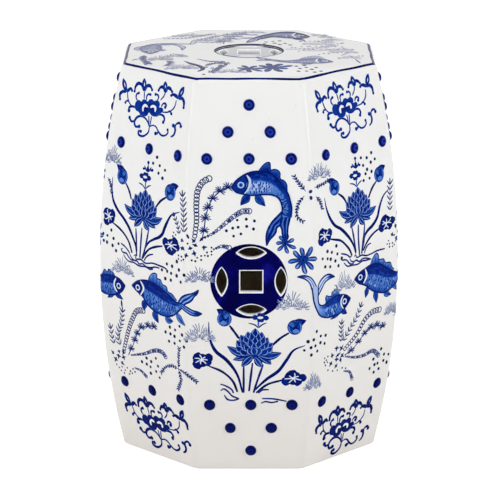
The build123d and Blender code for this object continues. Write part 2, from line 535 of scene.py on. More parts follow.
def coin_rings(coin_radius, petal_circle, petal_width, drift):
    """Plan rings of a pierced coin: from its square to the petals, and from the petals to its rim.

    The piercing's middle lies right of the disc's by the drift, so along a spoke at an angle the rim is at
    the root of radius squared less (drift sin angle) squared, less drift cos angle.
    """
    middle, offset, radius = petal_arcs(petal_circle, petal_width)
    tip = math.atan2(PETAL_LENGTH / 2, middle)
    quarter = np.concatenate([
        np.linspace(-np.pi / 4, -tip, 8)[:-1], np.linspace(-tip, tip, 29)[:-1],
        np.linspace(tip, np.pi / 4, 8)[:-1]
    ])
    angle = (quarter[None, :] + np.arange(4)[:, None] * np.pi / 2).ravel()
    fold = np.tile(quarter, 4)
    open_slit = np.abs(fold) < tip - 1e-9
    inside_tip = np.clip(fold, -tip, tip)
    inner = (middle + offset) * np.cos(inside_tip)
    inner = inner - np.sqrt(np.maximum(radius**2 - ((middle + offset) * np.sin(inside_tip)) ** 2, 0))
    outer = (middle - offset) * np.cos(inside_tip)
    outer = outer + np.sqrt(radius**2 - ((middle - offset) * np.sin(inside_tip)) ** 2)
    tip_radius = math.hypot(middle, PETAL_LENGTH / 2)
    inner = np.where(open_slit, inner, tip_radius)
    outer = np.where(open_slit, outer, tip_radius)
    square = COIN_SQUARE / 2 / np.cos(fold)
    hub = square[None] + (inner - square)[None] * HUB_EASE[:, None]
    edge = np.sqrt(coin_radius**2 - (drift * np.sin(angle)) ** 2) - drift * np.cos(angle)
    rim = outer[None] + (edge - outer)[None] * RIM_EASE[:, None]
    spokes = np.concatenate([hub, rim])
    plan = spokes[..., None] * np.stack([np.cos(angle), np.sin(angle)], -1)[None]
    return plan, len(hub), open_slit, (middle, offset, radius)


def make_coin(name, node, coin_radius, petals, drift, places, glaze):
    """Pierced coin with a front and back skin joined round the rim and through every hole.

    The two places put plan points, and how far they sink, onto the wall or the seat.
    """
    place_front, place_back = places
    plan, hub_rows, open_slit, arcs = coin_rings(coin_radius, drift=drift, **petals)
    rows, columns = plan.shape[:2]
    cut = cut_distance(plan[..., 0], plan[..., 1], *arcs)
    share = np.clip(1 - cut / COIN_SOFT, 0, 1)
    sink = COIN_SOFT * (1 - np.sqrt(1 - share**2))
    skin = rows * columns
    index = np.arange(skin).reshape(rows, columns)
    index[hub_rows] = np.where(open_slit, index[hub_rows], index[hub_rows - 1])
    flat = index.ravel()
    hub_quads = grid_quads(hub_rows, columns, close_columns=True)
    rim_quads = grid_quads(rows - hub_rows, columns, close_columns=True) + hub_rows * columns
    front = flat[np.concatenate([hub_quads, rim_quads])]
    loops = [index[0], index[-1]]
    walls = [
        np.stack([loop, np.roll(loop, -1), np.roll(loop, -1) + skin, loop + skin], -1) for loop in loops
    ]
    touching = open_slit | np.roll(open_slit, -1)
    for row in (hub_rows - 1, hub_rows):
        here = index[row]
        there = np.roll(here, -1)
        walls.append(np.stack([here, there, there + skin, here + skin], -1)[touching])
    points = np.concatenate([
        place_front(plan[..., 0], plan[..., 1], sink).reshape(-1, 3),
        place_back(plan[..., 0], plan[..., 1], sink * 0.6).reshape(-1, 3),
    ])
    faces = np.concatenate([front, front[:, ::-1] + skin, *walls])
    used = np.unique(faces)
    renumber = np.zeros(2 * skin, dtype=int)
    renumber[used] = np.arange(len(used))
    piece = mesh_object(name, points[used], renumber[faces], [glaze], sharp_angle=55.0)
    front_cut = np.concatenate([cut.ravel(), np.full(skin, -0.001)])
    set_attribute(piece, "cut_distance", front_cut[used] / MM)
    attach(piece, "root")
    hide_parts(node)
    return piece


def make_coin_glaze(name, specular, coat):
    """Very dark cobalt, pooled and streaked, left white in a border round every cut and on the cut walls, the
    white painted brighter than the body's glaze as a painted highlight on the shaded cuts.
    """
    material, tree, shader = new_material(name)
    place = object_place(tree)
    pool = noise(tree, place, 45.0, 3.0, 0.6)
    cobalt = colour_ramp(tree, pool, [(0.36, (1, 1, 64)), (0.56, (3, 3, 84)), (0.74, (18, 18, 136))])
    cut = attribute(tree, "cut_distance")
    shake = noise(tree, place, 160.0, 2.0)
    wavy = math_node(tree, "ADD", cut, math_node(tree, "MULTIPLY", shake, -0.5))
    border = add_node(tree, "ShaderNodeMapRange", Value=wavy, From_Min=0.85, From_Max=1.05).outputs[0]
    mix = add_node(tree, "ShaderNodeMix", {"data_type": "RGBA"}, Factor=border)
    # Painted highlight: the reserved white is brighter than the body's white glaze, to offset the shade on
    # the softened cut edges.
    mix.inputs["A"].default_value = (*screen((246, 247, 249)), 1.0)
    tree.links.new(cobalt, mix.inputs["B"])
    tree.links.new(mix.outputs["Result"], shader.inputs["Base Color"])
    glaze_surface(tree, shader, place, specular)
    shader.inputs["Coat Weight"].default_value = coat
    shader.inputs["Coat IOR"].default_value = 2.2
    return material


cobalt_coin = make_coin_glaze("cobalt_coin", 0.012, 0.0)
seat_cobalt = make_coin_glaze("seat_cobalt", 0.5, 1.0)


def wall_coin_places(side):
    """Front and back placing for a coin in the wall: plan points stand on the side and sink into it."""
    def front(p, q, sink):
        return side_point(side, p + COIN_DRIFT, COIN_LEVEL + q, sink)

    def back(p, q, sink):
        return side_point(side, p + COIN_DRIFT, COIN_LEVEL + q, WALL - sink)
    return front, back


def seat_coin_places():
    """Front and back placing for the seat's coin: plan points lie under the crown and over the underside."""
    def front(p, q, sink):
        return np.stack([p, q, crown_level(p, q) - SEAT_COIN_SINK - sink], -1)

    def back(p, q, sink):
        return np.stack([p, q, SEAT_UNDER + sink], -1)
    return front, back


front_places, back_places = wall_coin_places(0), wall_coin_places(SIDES // 2)
coins = [
    make_coin("front_coin", "front_medallion", COIN_RADIUS, SIDE_PETALS, COIN_DRIFT, front_places,
              cobalt_coin),
    make_coin("back_coin", "back_medallion", COIN_RADIUS, SIDE_PETALS, COIN_DRIFT, back_places, cobalt_coin),
    make_coin("seat_coin", "seat_medallion", SEAT_COIN_RADIUS, SEAT_PETALS, 0.0, seat_coin_places(),
              seat_cobalt),
]
print("coins:", [(coin.name, len(coin.data.polygons)) for coin in coins])

# %% [markdown]
# The studs are balls of clay pressed on the wall and painted with a turning brush: a dark dot, a paler ring
# and a dark edge where the colour pools. Each is a small dome whose skirt runs out into the wall as glaze
# does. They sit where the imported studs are: a triangle on every second side, a row on the others.

# %% Studs
STUD_RADIUS, STUD_HEIGHT = 0.0062, 0.0032
STUD_PITCH, STUD_ROW_PITCH = 0.0465, 0.0292
UPPER_STUD = HEIGHT - SEAT_CROWN - 0.028
LOWER_STUD = 0.023
SIDE_NAMES = ["front", "front_right", "right", "back_right", "back", "back_left", "left", "front_left"]
STUD_DRIFT = {(0, False): (2.0, 1.5), (1, True): (6.5, 0.0), (1, False): (2.0, 0.0), (7, True): (2.5, 0.5),
              (7, False): (5.5, 4.0)}
stud_rng = np.random.default_rng(11)


def make_stud_glaze():
    """Cobalt brushed in a ring: the tone follows the distance from the stud's middle, a little mottled; lower
    studs are painted darker as painted shade.
    """
    material, tree, shader = new_material("cobalt_stud")
    place = object_place(tree)
    ring = attribute(tree, "stud_radius")
    mottle = noise(tree, place, 260.0, 2.0)
    sway = math_node(tree, "MULTIPLY_ADD", mottle, 0.22, -0.11)
    tone = math_node(tree, "ADD", ring, sway)
    stops = [(0.0, (3, 12, 92)), (0.2, (4, 16, 100)), (0.36, (36, 66, 166)), (0.52, (20, 44, 146)),
             (0.7, (4, 14, 104)), (0.93, (3, 8, 76)), (0.975, (24, 36, 120)), (1.0, (120, 134, 190))]
    # Painted shade: studs low on the wall are mixed towards dark navy, eight tenths below 0.1 m, one tenth
    # above 0.3 m.
    level = add_node(tree, "ShaderNodeSeparateXYZ", Vector=place).outputs[2]
    shade = add_node(
        tree, "ShaderNodeMapRange", Value=level, From_Min=0.1, From_Max=0.3, To_Min=0.8, To_Max=0.1
    )
    mix = add_node(tree, "ShaderNodeMix", {"data_type": "RGBA"}, Factor=shade.outputs[0])
    tree.links.new(colour_ramp(tree, tone, stops), mix.inputs["A"])
    mix.inputs["B"].default_value = (*screen((2, 6, 74)), 1.0)
    tree.links.new(mix.outputs["Result"], shader.inputs["Base Color"])
    glaze_surface(tree, shader, place, 0.02, 0.05)
    return material


cobalt_stud = make_stud_glaze()


def stud_places(side, upper):
    """Along and level of a group's studs: rows of one, two and three, some groups set a little off."""
    first = 0 if side % 2 == 0 else 2
    drift, rise = STUD_DRIFT.get((side, upper), (0.0, 0.0))
    places = []
    for row in range(first, 3):
        level = UPPER_STUD - row * STUD_ROW_PITCH if upper else LOWER_STUD + row * STUD_ROW_PITCH
        places += [((column - row / 2) * STUD_PITCH, level) for column in range(row + 1)]
    return np.array(places) + np.array([drift, rise]) * MM


def make_studs(side, upper):
    """Domes on a side: each falls off as a sphere's cap does, and a thin skirt runs out into the glaze."""
    node = f"{SIDE_NAMES[side]}_{'upper' if upper else 'lower'}_studs"
    places = stud_places(side, upper)
    ball = (STUD_RADIUS**2 + STUD_HEIGHT**2) / (2 * STUD_HEIGHT)
    share = np.concatenate([np.linspace(0.0, 0.97, 12) ** 0.9, [1.0, 1.05, 1.1]])
    rise = np.sqrt(np.maximum(ball**2 - (np.minimum(share, 1) * STUD_RADIUS) ** 2, 0)) - (ball - STUD_HEIGHT)
    rise = rise + np.interp(
        share, [0.0, 0.9, 1.0, 1.05, 1.1], np.array([0, 0.00022, 0.0003, 0.00012, -0.0002])
    )
    bearing = np.linspace(0, 2 * np.pi, 28, endpoint=False)
    size = 1 + stud_rng.uniform(-0.03, 0.03, (len(places), 1, 1))
    oval = 1 + stud_rng.uniform(0, 0.05, (len(places), 1, 1)) * np.cos(2 * bearing - stud_rng.uniform(0, 6))
    radius = STUD_RADIUS * share[None, :, None] * size * oval
    along = places[:, 0, None, None] + radius * np.cos(bearing)
    level = places[:, 1, None, None] + radius * np.sin(bearing)
    outward = side_normal(side, places[:, 1])[:, None, None]
    points = side_point(side, along, level) + rise[None, :, None, None] * outward
    rows, columns = points.shape[1:3]
    base = grid_quads(rows, columns, close_columns=True)
    step = rows * columns
    quads = np.concatenate([base + step * n for n in range(len(places))])
    floor = [list(range(step * (n + 1) - columns, step * (n + 1))) for n in range(len(places))]
    piece = mesh_object(
        f"{node}_glazed", points.reshape(-1, 3), [*quads.tolist(), *floor], [cobalt_stud], 70.0
    )
    set_attribute(piece, "stud_radius", np.broadcast_to(share[None, :, None], points.shape[:3]))
    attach(piece, "root")
    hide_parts(node)
    return piece


def side_normal(side, level):
    """Outward direction of a side at a level: it leans up above the bow's centre and down below it."""
    lean = (np.asarray(level, dtype=float) - BOW_CENTRE[1]) / BOW_RADIUS
    out = np.sqrt(1 - lean**2)
    turn = TURN * side
    return np.stack(np.broadcast_arrays(np.sin(turn) * out, -np.cos(turn) * out, lean), -1)


studs = [make_studs(side, upper) for side in range(SIDES) for upper in (True, False)]
print("stud groups:", len(studs))

# %% [markdown]
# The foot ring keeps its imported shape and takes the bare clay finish.

# %% Foot ring
foot_ring = frame["nodes"]["foot_ring"]
foot_ring.data.materials.clear()
foot_ring.data.materials.append(bare_clay)
print("foot ring in", bare_clay.name)

# %% [markdown]
# The painting is cobalt brushed on the raw clay under the glaze. It could be one drawn texture, but the
# strokes keep their edge from any distance as thin films of colour that lie on the wall: each film is a
# strip between two lines, a few hundredths of a millimetre proud on top and let into the wall below, so it
# is a closed skin. Places are millimetres across and up on the side, counted from its middle, and they run
# on round the arris.


# %% The brush
EDGE_TONE = 0.4
BLEED = 0.25
ROUNDED_WIDTH = 1.2
ROUNDED_STEPS = np.array([0.12, 0.4, 1.0])


class Painting:
    """Films of colour for one side: their places, their tones and the coat they lie on."""

    def __init__(self, seed):
        self.films = []
        self.coat = 0
        self.rng = np.random.default_rng(seed)


def new_motif(art):
    """Start again from the first coat, for a motif that stands clear of the last one."""
    art.coat = 0


def glare_wash(art, first, share, grey):
    """Painted glare: scale the colour of all films from the given number on by a share and let it turn
    greyer.
    """
    art.films[first:] = [
        (grid, tones * share, max(own_grey, grey), lift, closed)
        for grid, tones, own_grey, lift, closed in art.films[first:]
    ]


def film(art, grid, tone, grey=0.0, closed=False):
    """Add a strip of colour given as rows and columns of places, with a tone for each of them."""
    grid = np.asarray(grid, dtype=float)
    tones = np.broadcast_to(tone, grid.shape[:2])
    art.films.append((grid, tones, grey, 0.04 + 0.004 * art.coat, closed))
    art.coat += 1


def bled(load):
    """Tone at the edge of a touch: cobalt runs pale into the glaze, and a white touch takes a little blue."""
    return np.where(load < 0.2, 0.3, EDGE_TONE * load)


def smooth_line(points, count):
    """Evenly spread points of a smooth line through the given ones: cubics with the neighbours' slopes."""
    knots = np.asarray(points, dtype=float)
    gaps = np.linalg.norm(np.diff(knots, axis=0), axis=1)
    run = np.concatenate([[0.0], np.cumsum(gaps)])
    slope = np.gradient(knots, run, axis=0)
    at = np.linspace(0, run[-1], count)
    piece = np.clip(np.searchsorted(run, at, "right") - 1, 0, len(gaps) - 1)
    span = gaps[piece][:, None]
    t = ((at - run[piece]) / gaps[piece])[:, None]
    start = knots[piece] * (1 + 2 * t) * (1 - t) ** 2 + slope[piece] * span * t * (1 - t) ** 2
    end = knots[piece + 1] * (3 - 2 * t) * t**2 + slope[piece + 1] * span * (t - 1) * t**2
    return start + end


def line_length(points):
    """Length of the straight pieces between points."""
    return float(np.linalg.norm(np.diff(np.asarray(points, dtype=float), axis=0), axis=1).sum())


def side_step(line):
    """Unit direction to the left of a line at each of its points."""
    along = np.gradient(line, axis=0)
    along = along / np.maximum(np.linalg.norm(along, axis=1, keepdims=True), 1e-9)
    return np.stack([-along[:, 1], along[:, 0]], -1)


def stroke(art, points, width, tone=0.9, ends=(0.25, 0.25), grey=0.0, belly=(0.25, 0.75), edge=None):
    """One pull of the brush: a strip either side of a smooth line, bled into the glaze, never quite even.

    Broad strokes get round ends: within half a width of an end the strip narrows as a circle does. A stroke
    laid over colour takes that colour's tone as its edge.
    """
    length = line_length(points)
    count = int(np.clip(length / 1.6 + 2, 4, 60))
    line = smooth_line(points, count)
    t = np.linspace(0, 1, count)
    half = width / 2 * np.interp(t, [0, belly[0], belly[1], 1], [ends[0], 1, 1, ends[1]])
    half = half * (1 + 0.09 * np.sin(11 * t + art.rng.uniform(0, 6)))
    if width > ROUNDED_WIDTH:
        turn = min(width / 2 / length, 0.3)
        at = np.unique(np.concatenate([t, turn * ROUNDED_STEPS, 1 - turn * ROUNDED_STEPS]))
        line = np.stack([np.interp(at, t, line[:, 0]), np.interp(at, t, line[:, 1])], -1)
        inward = 1 - np.minimum(np.minimum(at, 1 - at) / turn, 1)
        half = np.interp(at, t, half) * np.sqrt(np.maximum(1 - inward**2, 0.02))
        t = at
    body = np.linspace(-1, 1, 2 + int(width / 2.2))
    reach = np.concatenate([-half[:, None] - BLEED, half[:, None] * body[None, :], half[:, None] + BLEED], 1)
    grid = line[:, None] + side_step(line)[:, None] * reach[..., None]
    start, end = tone if isinstance(tone, tuple) else (tone, tone)
    load = np.repeat((start + (end - start) * t)[:, None], len(body) + 2, 1)
    load[:, [0, -1]] = bled(load[:, [0, -1]]) if edge is None else edge
    film(art, grid, load, grey)


def dab(art, centre, size, tone, turn=0.0, grey=0.0, edge=None):
    """Round or oval touch: rows of chords of an ellipse, so half a row is the root of 1 - t squared."""
    t = np.sin(np.linspace(-np.pi / 2, np.pi / 2, 9))
    across = np.concatenate([[-1], np.linspace(-0.78, 0.78, 3 + int(max(size) / 1.8)), [1]])
    x = (size[0] + BLEED) * np.maximum(np.sqrt(1 - t**2), 0.02)[:, None] * across[None, :]
    y = np.broadcast_to((size[1] + BLEED) * t[:, None], x.shape)
    load = np.full(x.shape, float(tone))
    load[[0, -1]] = load[:, [0, -1]] = bled(float(tone)) if edge is None else edge
    c, s = math.cos(turn), math.sin(turn)
    film(art, np.stack([centre[0] + c * x - s * y, centre[1] + s * x + c * y], -1), load, grey)


def ring(art, centre, radius, width, tone, grey=0.0):
    """Thin circle drawn with the tip of the brush: a strip that closes on itself."""
    bearing = np.linspace(0, 2 * np.pi, max(14, int(radius * 1.6)), endpoint=False)
    unit = np.stack([np.cos(bearing), np.sin(bearing)], -1)
    reach = radius + np.array([-width / 2 - 0.5 * BLEED, -0.3 * width, 0.3 * width, width / 2 + 0.5 * BLEED])
    load = tone * np.array([EDGE_TONE, 1, 1, EDGE_TONE])
    film(art, np.asarray(centre) + unit[:, None] * reach[None, :, None], load[None, :], grey, closed=True)


def petal(art, spine, width, outline=0.9, rim=0.4, core=0.8, peak=0.5, point=1.7, bands=(0.9, 0.95)):
    """Leaf-shaped touch: it swells as a sine to its peak and runs in to a tip, sharper for a smaller point.

    Across it lie a dark outline and a pale line inside it, as wide as the bands say, and then the core.
    """
    count = int(np.clip(line_length(spine) / 1.5 + 5, 8, 26))
    line = smooth_line(spine, count)
    t = np.linspace(0.004, 0.996, count)
    swell = np.sin(np.pi / 2 * np.minimum(t / peak, 1)) ** 0.7
    taper = 1 - np.clip((t - peak) / (1 - peak), 0, 1) ** point
    half = width / 2 * swell * taper + BLEED
    line_share = min(2 * bands[0] / width, 0.55)
    rim_share = min(2 * bands[1] / width, 0.34)
    inside = 1 - line_share - rim_share
    rim_start = inside + 0.25 * rim_share
    line_start, line_end = 1 - 0.8 * line_share, 1 - 0.2 * line_share
    steps = np.array([0, 0.7 * inside, inside, rim_start, 1 - line_share, line_start, line_end, 1])
    loads = np.array([core, core, core, rim, rim, outline, outline, 0.55 * outline])
    across = np.concatenate([-steps[:0:-1], steps])
    tones = np.concatenate([loads[:0:-1], loads])
    grid = line[:, None] + side_step(line)[:, None] * half[:, None, None] * across[None, :, None]
    film(art, grid, tones[None, :])


def pool(art, outline, tone):
    """Flat pool of colour inside a closed outline: spokes from its middle, paler towards the edge."""
    edge = smooth_line([*outline, outline[0]], 3 * len(outline) + 1)[:-1]
    middle = edge.mean(0)
    share = np.array([0.03, 0.35, 0.65, 0.85, 0.95, 1.0])
    grid = middle + (edge - middle)[:, None] * share[None, :, None]
    load = tone + np.array([0.08, 0.06, 0.0, -0.04, 0.04, 0.0])
    load[-1] = EDGE_TONE * tone
    film(art, grid, load[None, :], closed=True)


def dots(art, places, radius=1.65, tone=0.95, grey=0.8):
    """Scatter of small round touches, no two quite alike."""
    new_motif(art)
    for place in places:
        size = radius * art.rng.uniform(0.85, 1.15)
        dab(art, place, (size, size * art.rng.uniform(0.92, 1.15)), tone, grey=grey)


# %% [markdown]
# The painter builds the pond from a small stock of motifs, each a few pulls of the brush: lotus, lily
# leaves, carp, several kinds of weed, coral, small flowers. They are traditional, and each is drawn by a
# function of its own from places on the side. First the plants.


# %% Lotus and leaves
LOTUS_DOME = [
    (0.5, 31), (-8, 27), (8, 26.5), (-16, 23), (14.5, 20), (-3.5, 25.5), (4.5, 24.5), (-20.5, 16.5),
    (20, 13.5), (-11.5, 21.5), (11, 21), (0.5, 21), (-15.5, 16.5), (15, 15), (-6, 18), (5.5, 17), (-21, 9),
    (19.5, 8), (-11.5, 12), (10.5, 12), (-1, 13.5), (-16.5, 5), (14.5, 6), (-7, 8), (6, 8), (-1, 8.5),
]
POND_SKIRT = [
    ([(-5, -0.5), (-16.5, -4), (-25, -7)], 7.5), ([(-1.5, -2), (-10.5, -9), (-15.5, -14.5)], 8.5),
    ([(2, -3), (12.5, -6.5), (19.5, -10)], 8.0), ([(0, -4), (4.5, -10), (9.5, -14.5)], 8.0),
    ([(-3, 0.5), (-18, 1), (-26, 3.5), (-33, 8.5)], 9.5), ([(2, -1), (10, -2), (20, -1.5), (30, 3.5)], 9.5),
]
FRONT_SKIRT = [
    ([(-4, -1), (-14, -4), (-24.5, -7)], 7.5), ([(4, -2), (12, -6.5), (18.5, -12.5)], 8.5),
    ([(-2, -2), (-9, -8.5), (-15, -15)], 8.5), ([(0, -4), (4, -10), (8, -16)], 8.0),
    ([(-3, 0.5), (-19, 2), (-31, 9.5)], 9.5), ([(3, -0.5), (18.5, -2), (30, 1.5)], 9.5),
]


def lotus(art, heart, skirt=POND_SKIRT, size=1.0):
    """Open lotus: skirt and wings first, then a dome of pointed petals laid like scales from the top down."""
    new_motif(art)

    def at(*places):
        return [(heart[0] + size * x, heart[1] + size * y) for x, y in places]

    dab(art, at((0, -1.5))[0], (6.0 * size, 4.5 * size), 0.72)
    for spine, width in skirt:
        petal(art, at(*spine), width * size, 0.95, 0.32, art.rng.uniform(0.66, 0.8), 0.5, 1.9, (1.75, 0.9))
    for x, y in LOTUS_DOME:
        away = math.hypot(x, y + 8)
        back = (9.5 if y < 10 else 13.0) / away
        spine = at(
            (x - back * x, y - back * (y + 8)), (x - 0.5 * back * x, y - 0.5 * back * (y + 8)), (x, y)
        )
        petal(art, spine, 9.8 * size, 0.92, 0.3, art.rng.uniform(0.7, 0.84), 0.5, 1.6, (1.2, 1.35))


def lotus_finial(art, tip, flower):
    """Sprig over a lotus: two curved leaves and a small open flower on a stalk."""
    new_motif(art)
    x, y = tip
    stroke(art, [(x, y), (x - 4, y + 3.5), (x - 11, y + 5.5)], 1.1, 0.95, (1, 0.2))
    stroke(art, [(x, y), (x + 4, y + 3.5), (x + 9, y + 6)], 1.1, 0.95, (1, 0.2))
    stroke(art, [(x, y), (x, flower[1] - 4)], 1.6, (0.4, 0.55))
    fx, fy = flower
    for dx, dy, width in ((-10, 0.5, 5.5), (9.5, -0.5, 5.5), (-3, 5, 5), (4.5, 4.5, 5), (-3.5, -4.5, 5),
                          (3, -5, 5)):
        petal(
            art, [(fx + dx * 0.15, fy + dy * 0.15), (fx + dx * 0.6, fy + dy * 0.7), (fx + dx, fy + dy)],
            width, 0.9, 0.8, 0.74, 0.62
        )
    dab(art, (fx - 0.4, fy), (3.2, 1.3), 0.04)


def arrow_sprig(art, foot, height):
    """Upright sprig with barbs each side and a drop at its head."""
    new_motif(art)
    x, y = foot
    stroke(art, [(x, y), (x, y + height)], 1.1, 0.9, (1, 0.5))
    dab(art, (x, y + height), (1.8, 1.6), 0.85)
    dab(art, (x, y + height * 0.3), (1.9, 3.0), 0.85)
    for dx in (-6, 5.5):
        stroke(art, [(x, y), (x + dx * 0.5, y + 2), (x + dx, y + 6)], 1.6, 0.85, (1, 0.2))
        dab(art, (x + dx * 1.1, y + 2.5), (1.7, 1.2), 0.85)


def rolled_leaf(art, centre, horn, size=1.0):
    """Lily leaf seen half rolled: a dark round pad with two paler folds and a horn that curls to a point."""
    new_motif(art)
    x, y = centre
    hx, hy = horn
    away = math.hypot(hx - x, hy - y)
    ux, uy = (hx - x) / away, (hy - y) / away
    petal(art, [(x - ux * 4, y - uy * 6), (x + ux * away * 0.5, y + uy * away * 0.75), horn], 11.5 * size,
          0.92, 0.72, 0.84, 0.45)
    dab(art, (x, y - 0.5), (8.6 * size, 9.2 * size), 0.92)
    dab(art, (x + ux * 0.4, y - 0.8), (7.3 * size, 7.8 * size), 0.68)
    dab(art, (x + ux * 1.4, y - 5.0), (3.8 * size, 2.4 * size), 0.38, edge=0.5)
    dab(art, (x - ux * 3.4, y + 1.8), (2.4 * size, 3.2 * size), 0.5, edge=0.6)
    stroke(
        art, [(x - ux * 8, y + 2), (x - ux * 2, y - 1.5), (x + ux * 3, y + 1.5), (x + ux * 5, y + 7)], 1.5,
        0.9, edge=0.6
    )
    stroke(art, [(x + ux * 7, y - 4), (x + ux * 2, y - 1), (x - ux * 3, y - 4)], 1.2, 0.88, edge=0.6)
    stroke(
        art, [(x + ux * 3, y + 4), (x + ux * away * 0.6, y + uy * away * 0.8)], 1.4, (0.88, 0.6), edge=0.66
    )


def veined_leaf(art, centre, size, turn=0.2, lobes=7):
    """Open lily leaf from above: uneven dark lobes, with white left between them as crooked veins."""
    new_motif(art)
    width, height = size[0] / 2, size[1] / 2
    step = 2 * np.pi / lobes
    reaches = np.array([1.12, 0.84, 1.04, 0.8, 1.16, 0.86, 0.96])

    def at(bearing, share):
        return centre[0] + width * share * math.cos(bearing), centre[1] + height * share * math.sin(bearing)

    dab(art, centre, (width * 0.7, height * 0.7), 0.88)
    for bearing, reach in zip(turn + np.arange(lobes) * step, reaches):
        broad = step * math.hypot(width * math.sin(bearing), height * math.cos(bearing)) * 1.05
        shade = art.rng.uniform(0.78, 0.9)
        petal(
            art, [at(bearing, 0.06), at(bearing, 0.6 * reach), at(bearing, reach)], broad, 0.93, shade,
            shade, 0.66, 3.0
        )
    for bearing in turn + (np.arange(lobes) + 0.5) * step:
        far = art.rng.uniform(0.5, 0.8)
        bow = art.rng.uniform(-0.35, 0.35)
        stroke(art, [at(bearing, 0.04), at(bearing + bow, 0.5 * far), at(bearing, far)], 0.8, 0.03, (1, 0.4))
    dab(art, centre, (width * 0.12, height * 0.12), 0.03)


def stems(art, lines, width, tone=(0.9, 0.96)):
    """Long pulls of the brush that swell towards the ground."""
    new_motif(art)
    for line in lines:
        stroke(art, line, width * 1.25, tone, (0.6, 0.85), 0.25)


def blade(art, line, width=3.4):
    """Grass blade: from a hair-thin tip it swells over the bend and thins again to the root."""
    new_motif(art)
    stroke(art, line, width, (0.86, 0.94), (0.12, 0.45), belly=(0.35, 0.6))


# %% Weeds, coral and small flowers
def fir_weed(art, line, needle=7.6, tone=0.9):
    """Weed with paired needles that point up and out, a pair for every few millimetres of a faint stem."""
    new_motif(art)
    stroke(art, line, 0.5, 0.7, (0.7, 0.4), 0.5)
    count = int(line_length(line) / 6.2) + 2
    path = smooth_line(line, count)
    up = np.gradient(path, axis=0)
    up = up / np.linalg.norm(up, axis=1, keepdims=True)
    left = side_step(path)
    for place, ahead, out in zip(path, up, left):
        for side in (-1, 1):
            reach = needle * art.rng.uniform(0.8, 1.1)
            tip = place + ahead * reach * 0.7 + out * side * reach * 0.66
            stroke(
                art, [place + out * side * 0.5, tip], 1.25, (tone + 0.03, tone - 0.06), (0.5, 0.2), 0.45,
                (0.3, 0.6)
            )
    stroke(art, [path[-1], path[-1] + up[-1] * needle], 1.4, tone, (0.6, 0.15), 0.45)


def ring_chain(art, line, radius=3.1, tone=0.95, width=1.0):
    """Weed of hollow beads: overlapping rings threaded along a line, smaller towards the root."""
    new_motif(art)
    count = int(line_length(line) / (radius * 1.3)) + 1
    path = smooth_line(line, count)
    for place, share in zip(path, np.linspace(0.75, 1.05, count)):
        ring(art, place, radius * share, width, tone, 0.6)


def bead_weed(art, line, radius=2.4):
    """Weed that starts as a dotted thread and swells to a string of hollow beads, every third one filled."""
    new_motif(art)
    count = int(line_length(line) / (radius * 1.25)) + 1
    path = smooth_line(line, count)
    out = side_step(path)
    for number, share in enumerate(np.linspace(0.35, 1.12, count)):
        ring(art, path[number], radius * share, 0.75, 0.86, 0.5)
        cut = out[number] * radius * share * 0.8
        if number % 3 == 1:
            dab(art, path[number], (radius * share * 0.45, radius * share * 0.6), 0.9, grey=0.5)
        elif number % 3 == 2:
            stroke(art, [path[number] - cut, path[number] + cut], 0.7, 0.8, grey=0.4)


def burst_weed(art, places, root, reach=6.5):
    """Weed with tufts: thin hairs fan out to both sides from knots along a stem, a few of them up."""
    new_motif(art)
    stroke(art, [root, *places], 0.8, (0.9, 0.8), (1, 0.6), 0.4)
    for place in places:
        for bearing in (-0.7, -0.2, 0.3, 0.8, 1.4, 1.9, 2.4, 2.9, 3.35, 3.85):
            bearing = bearing + art.rng.uniform(-0.12, 0.12)
            length = 1.25 * reach * art.rng.uniform(0.75, 1.1) * (1 - 0.15 * abs(math.sin(bearing)))
            tip = (place[0] + length * math.cos(bearing), place[1] + length * math.sin(bearing) + 0.4)
            stroke(art, [place, tip], 0.72, (0.94, 0.84), (1, 0.55), 0.4)
        dab(art, place, (1.1, 0.8), 0.94)


def feather_weed(art, arms, hair=3.9):
    """Weed of thin bowed arms with short leaning ticks on both sides, darkest at their feet."""
    new_motif(art)
    for arm in arms:
        stroke(art, arm, 0.6, (0.75, 0.88), (0.5, 0.6), 0.5)
        count = int(line_length(arm) / 3.4) + 2
        path = smooth_line(arm, count)
        ahead = np.gradient(path, axis=0)
        ahead = ahead / np.linalg.norm(ahead, axis=1, keepdims=True)
        out = side_step(path)
        for number in range(1, count):
            for side in (-1, 1):
                reach = hair * art.rng.uniform(0.6, 1.15)
                tip = path[number] + ahead[number] * reach * 0.7 + out[number] * side * reach * 0.65
                stroke(art, [path[number], tip], 1.1, (0.96, 0.76), (1, 0.3), 0.4)


def coral(art, centre, size, tone=0.5):
    """Pale coral: a few tufts of thin hairs spread like fans, the tallest in the middle."""
    new_motif(art)
    width, height = size[0] * 1.05, size[1] * 1.3
    x, y = centre[0], centre[1] - height * 0.36
    tufts = [
        (0.0, 0.26, 0.36, 0.62), (-0.24, 0.12, 0.3, 0.52), (0.24, 0.1, 0.3, 0.5), (-0.02, 0.05, 0.28, 0.4),
        (-0.36, 0.0, 0.22, 0.32), (0.36, 0.0, 0.22, 0.32)
    ]
    for dx, dy, spread, tall in tufts:
        for lean in np.linspace(-1.4, 1.4, 9):
            lean = lean + art.rng.uniform(-0.1, 0.1)
            reach = art.rng.uniform(0.7, 1.1)
            foot = (x + width * dx, y + height * dy)
            reach_x = width * spread * math.sin(lean)
            reach_y = height * tall * math.cos(lean)
            start = (foot[0] + 0.3 * reach_x, foot[1] + 0.3 * reach_y)
            knee = (foot[0] + 0.68 * reach * reach_x, foot[1] + 0.72 * reach * reach_y)
            end = (foot[0] + reach * reach_x, foot[1] + reach * reach_y)
            shade = tone + art.rng.uniform(-0.2, 0.14)
            stroke(art, [start, knee, end], 0.55, (shade, shade + 0.14), (0.5, 0.5), 0.85)


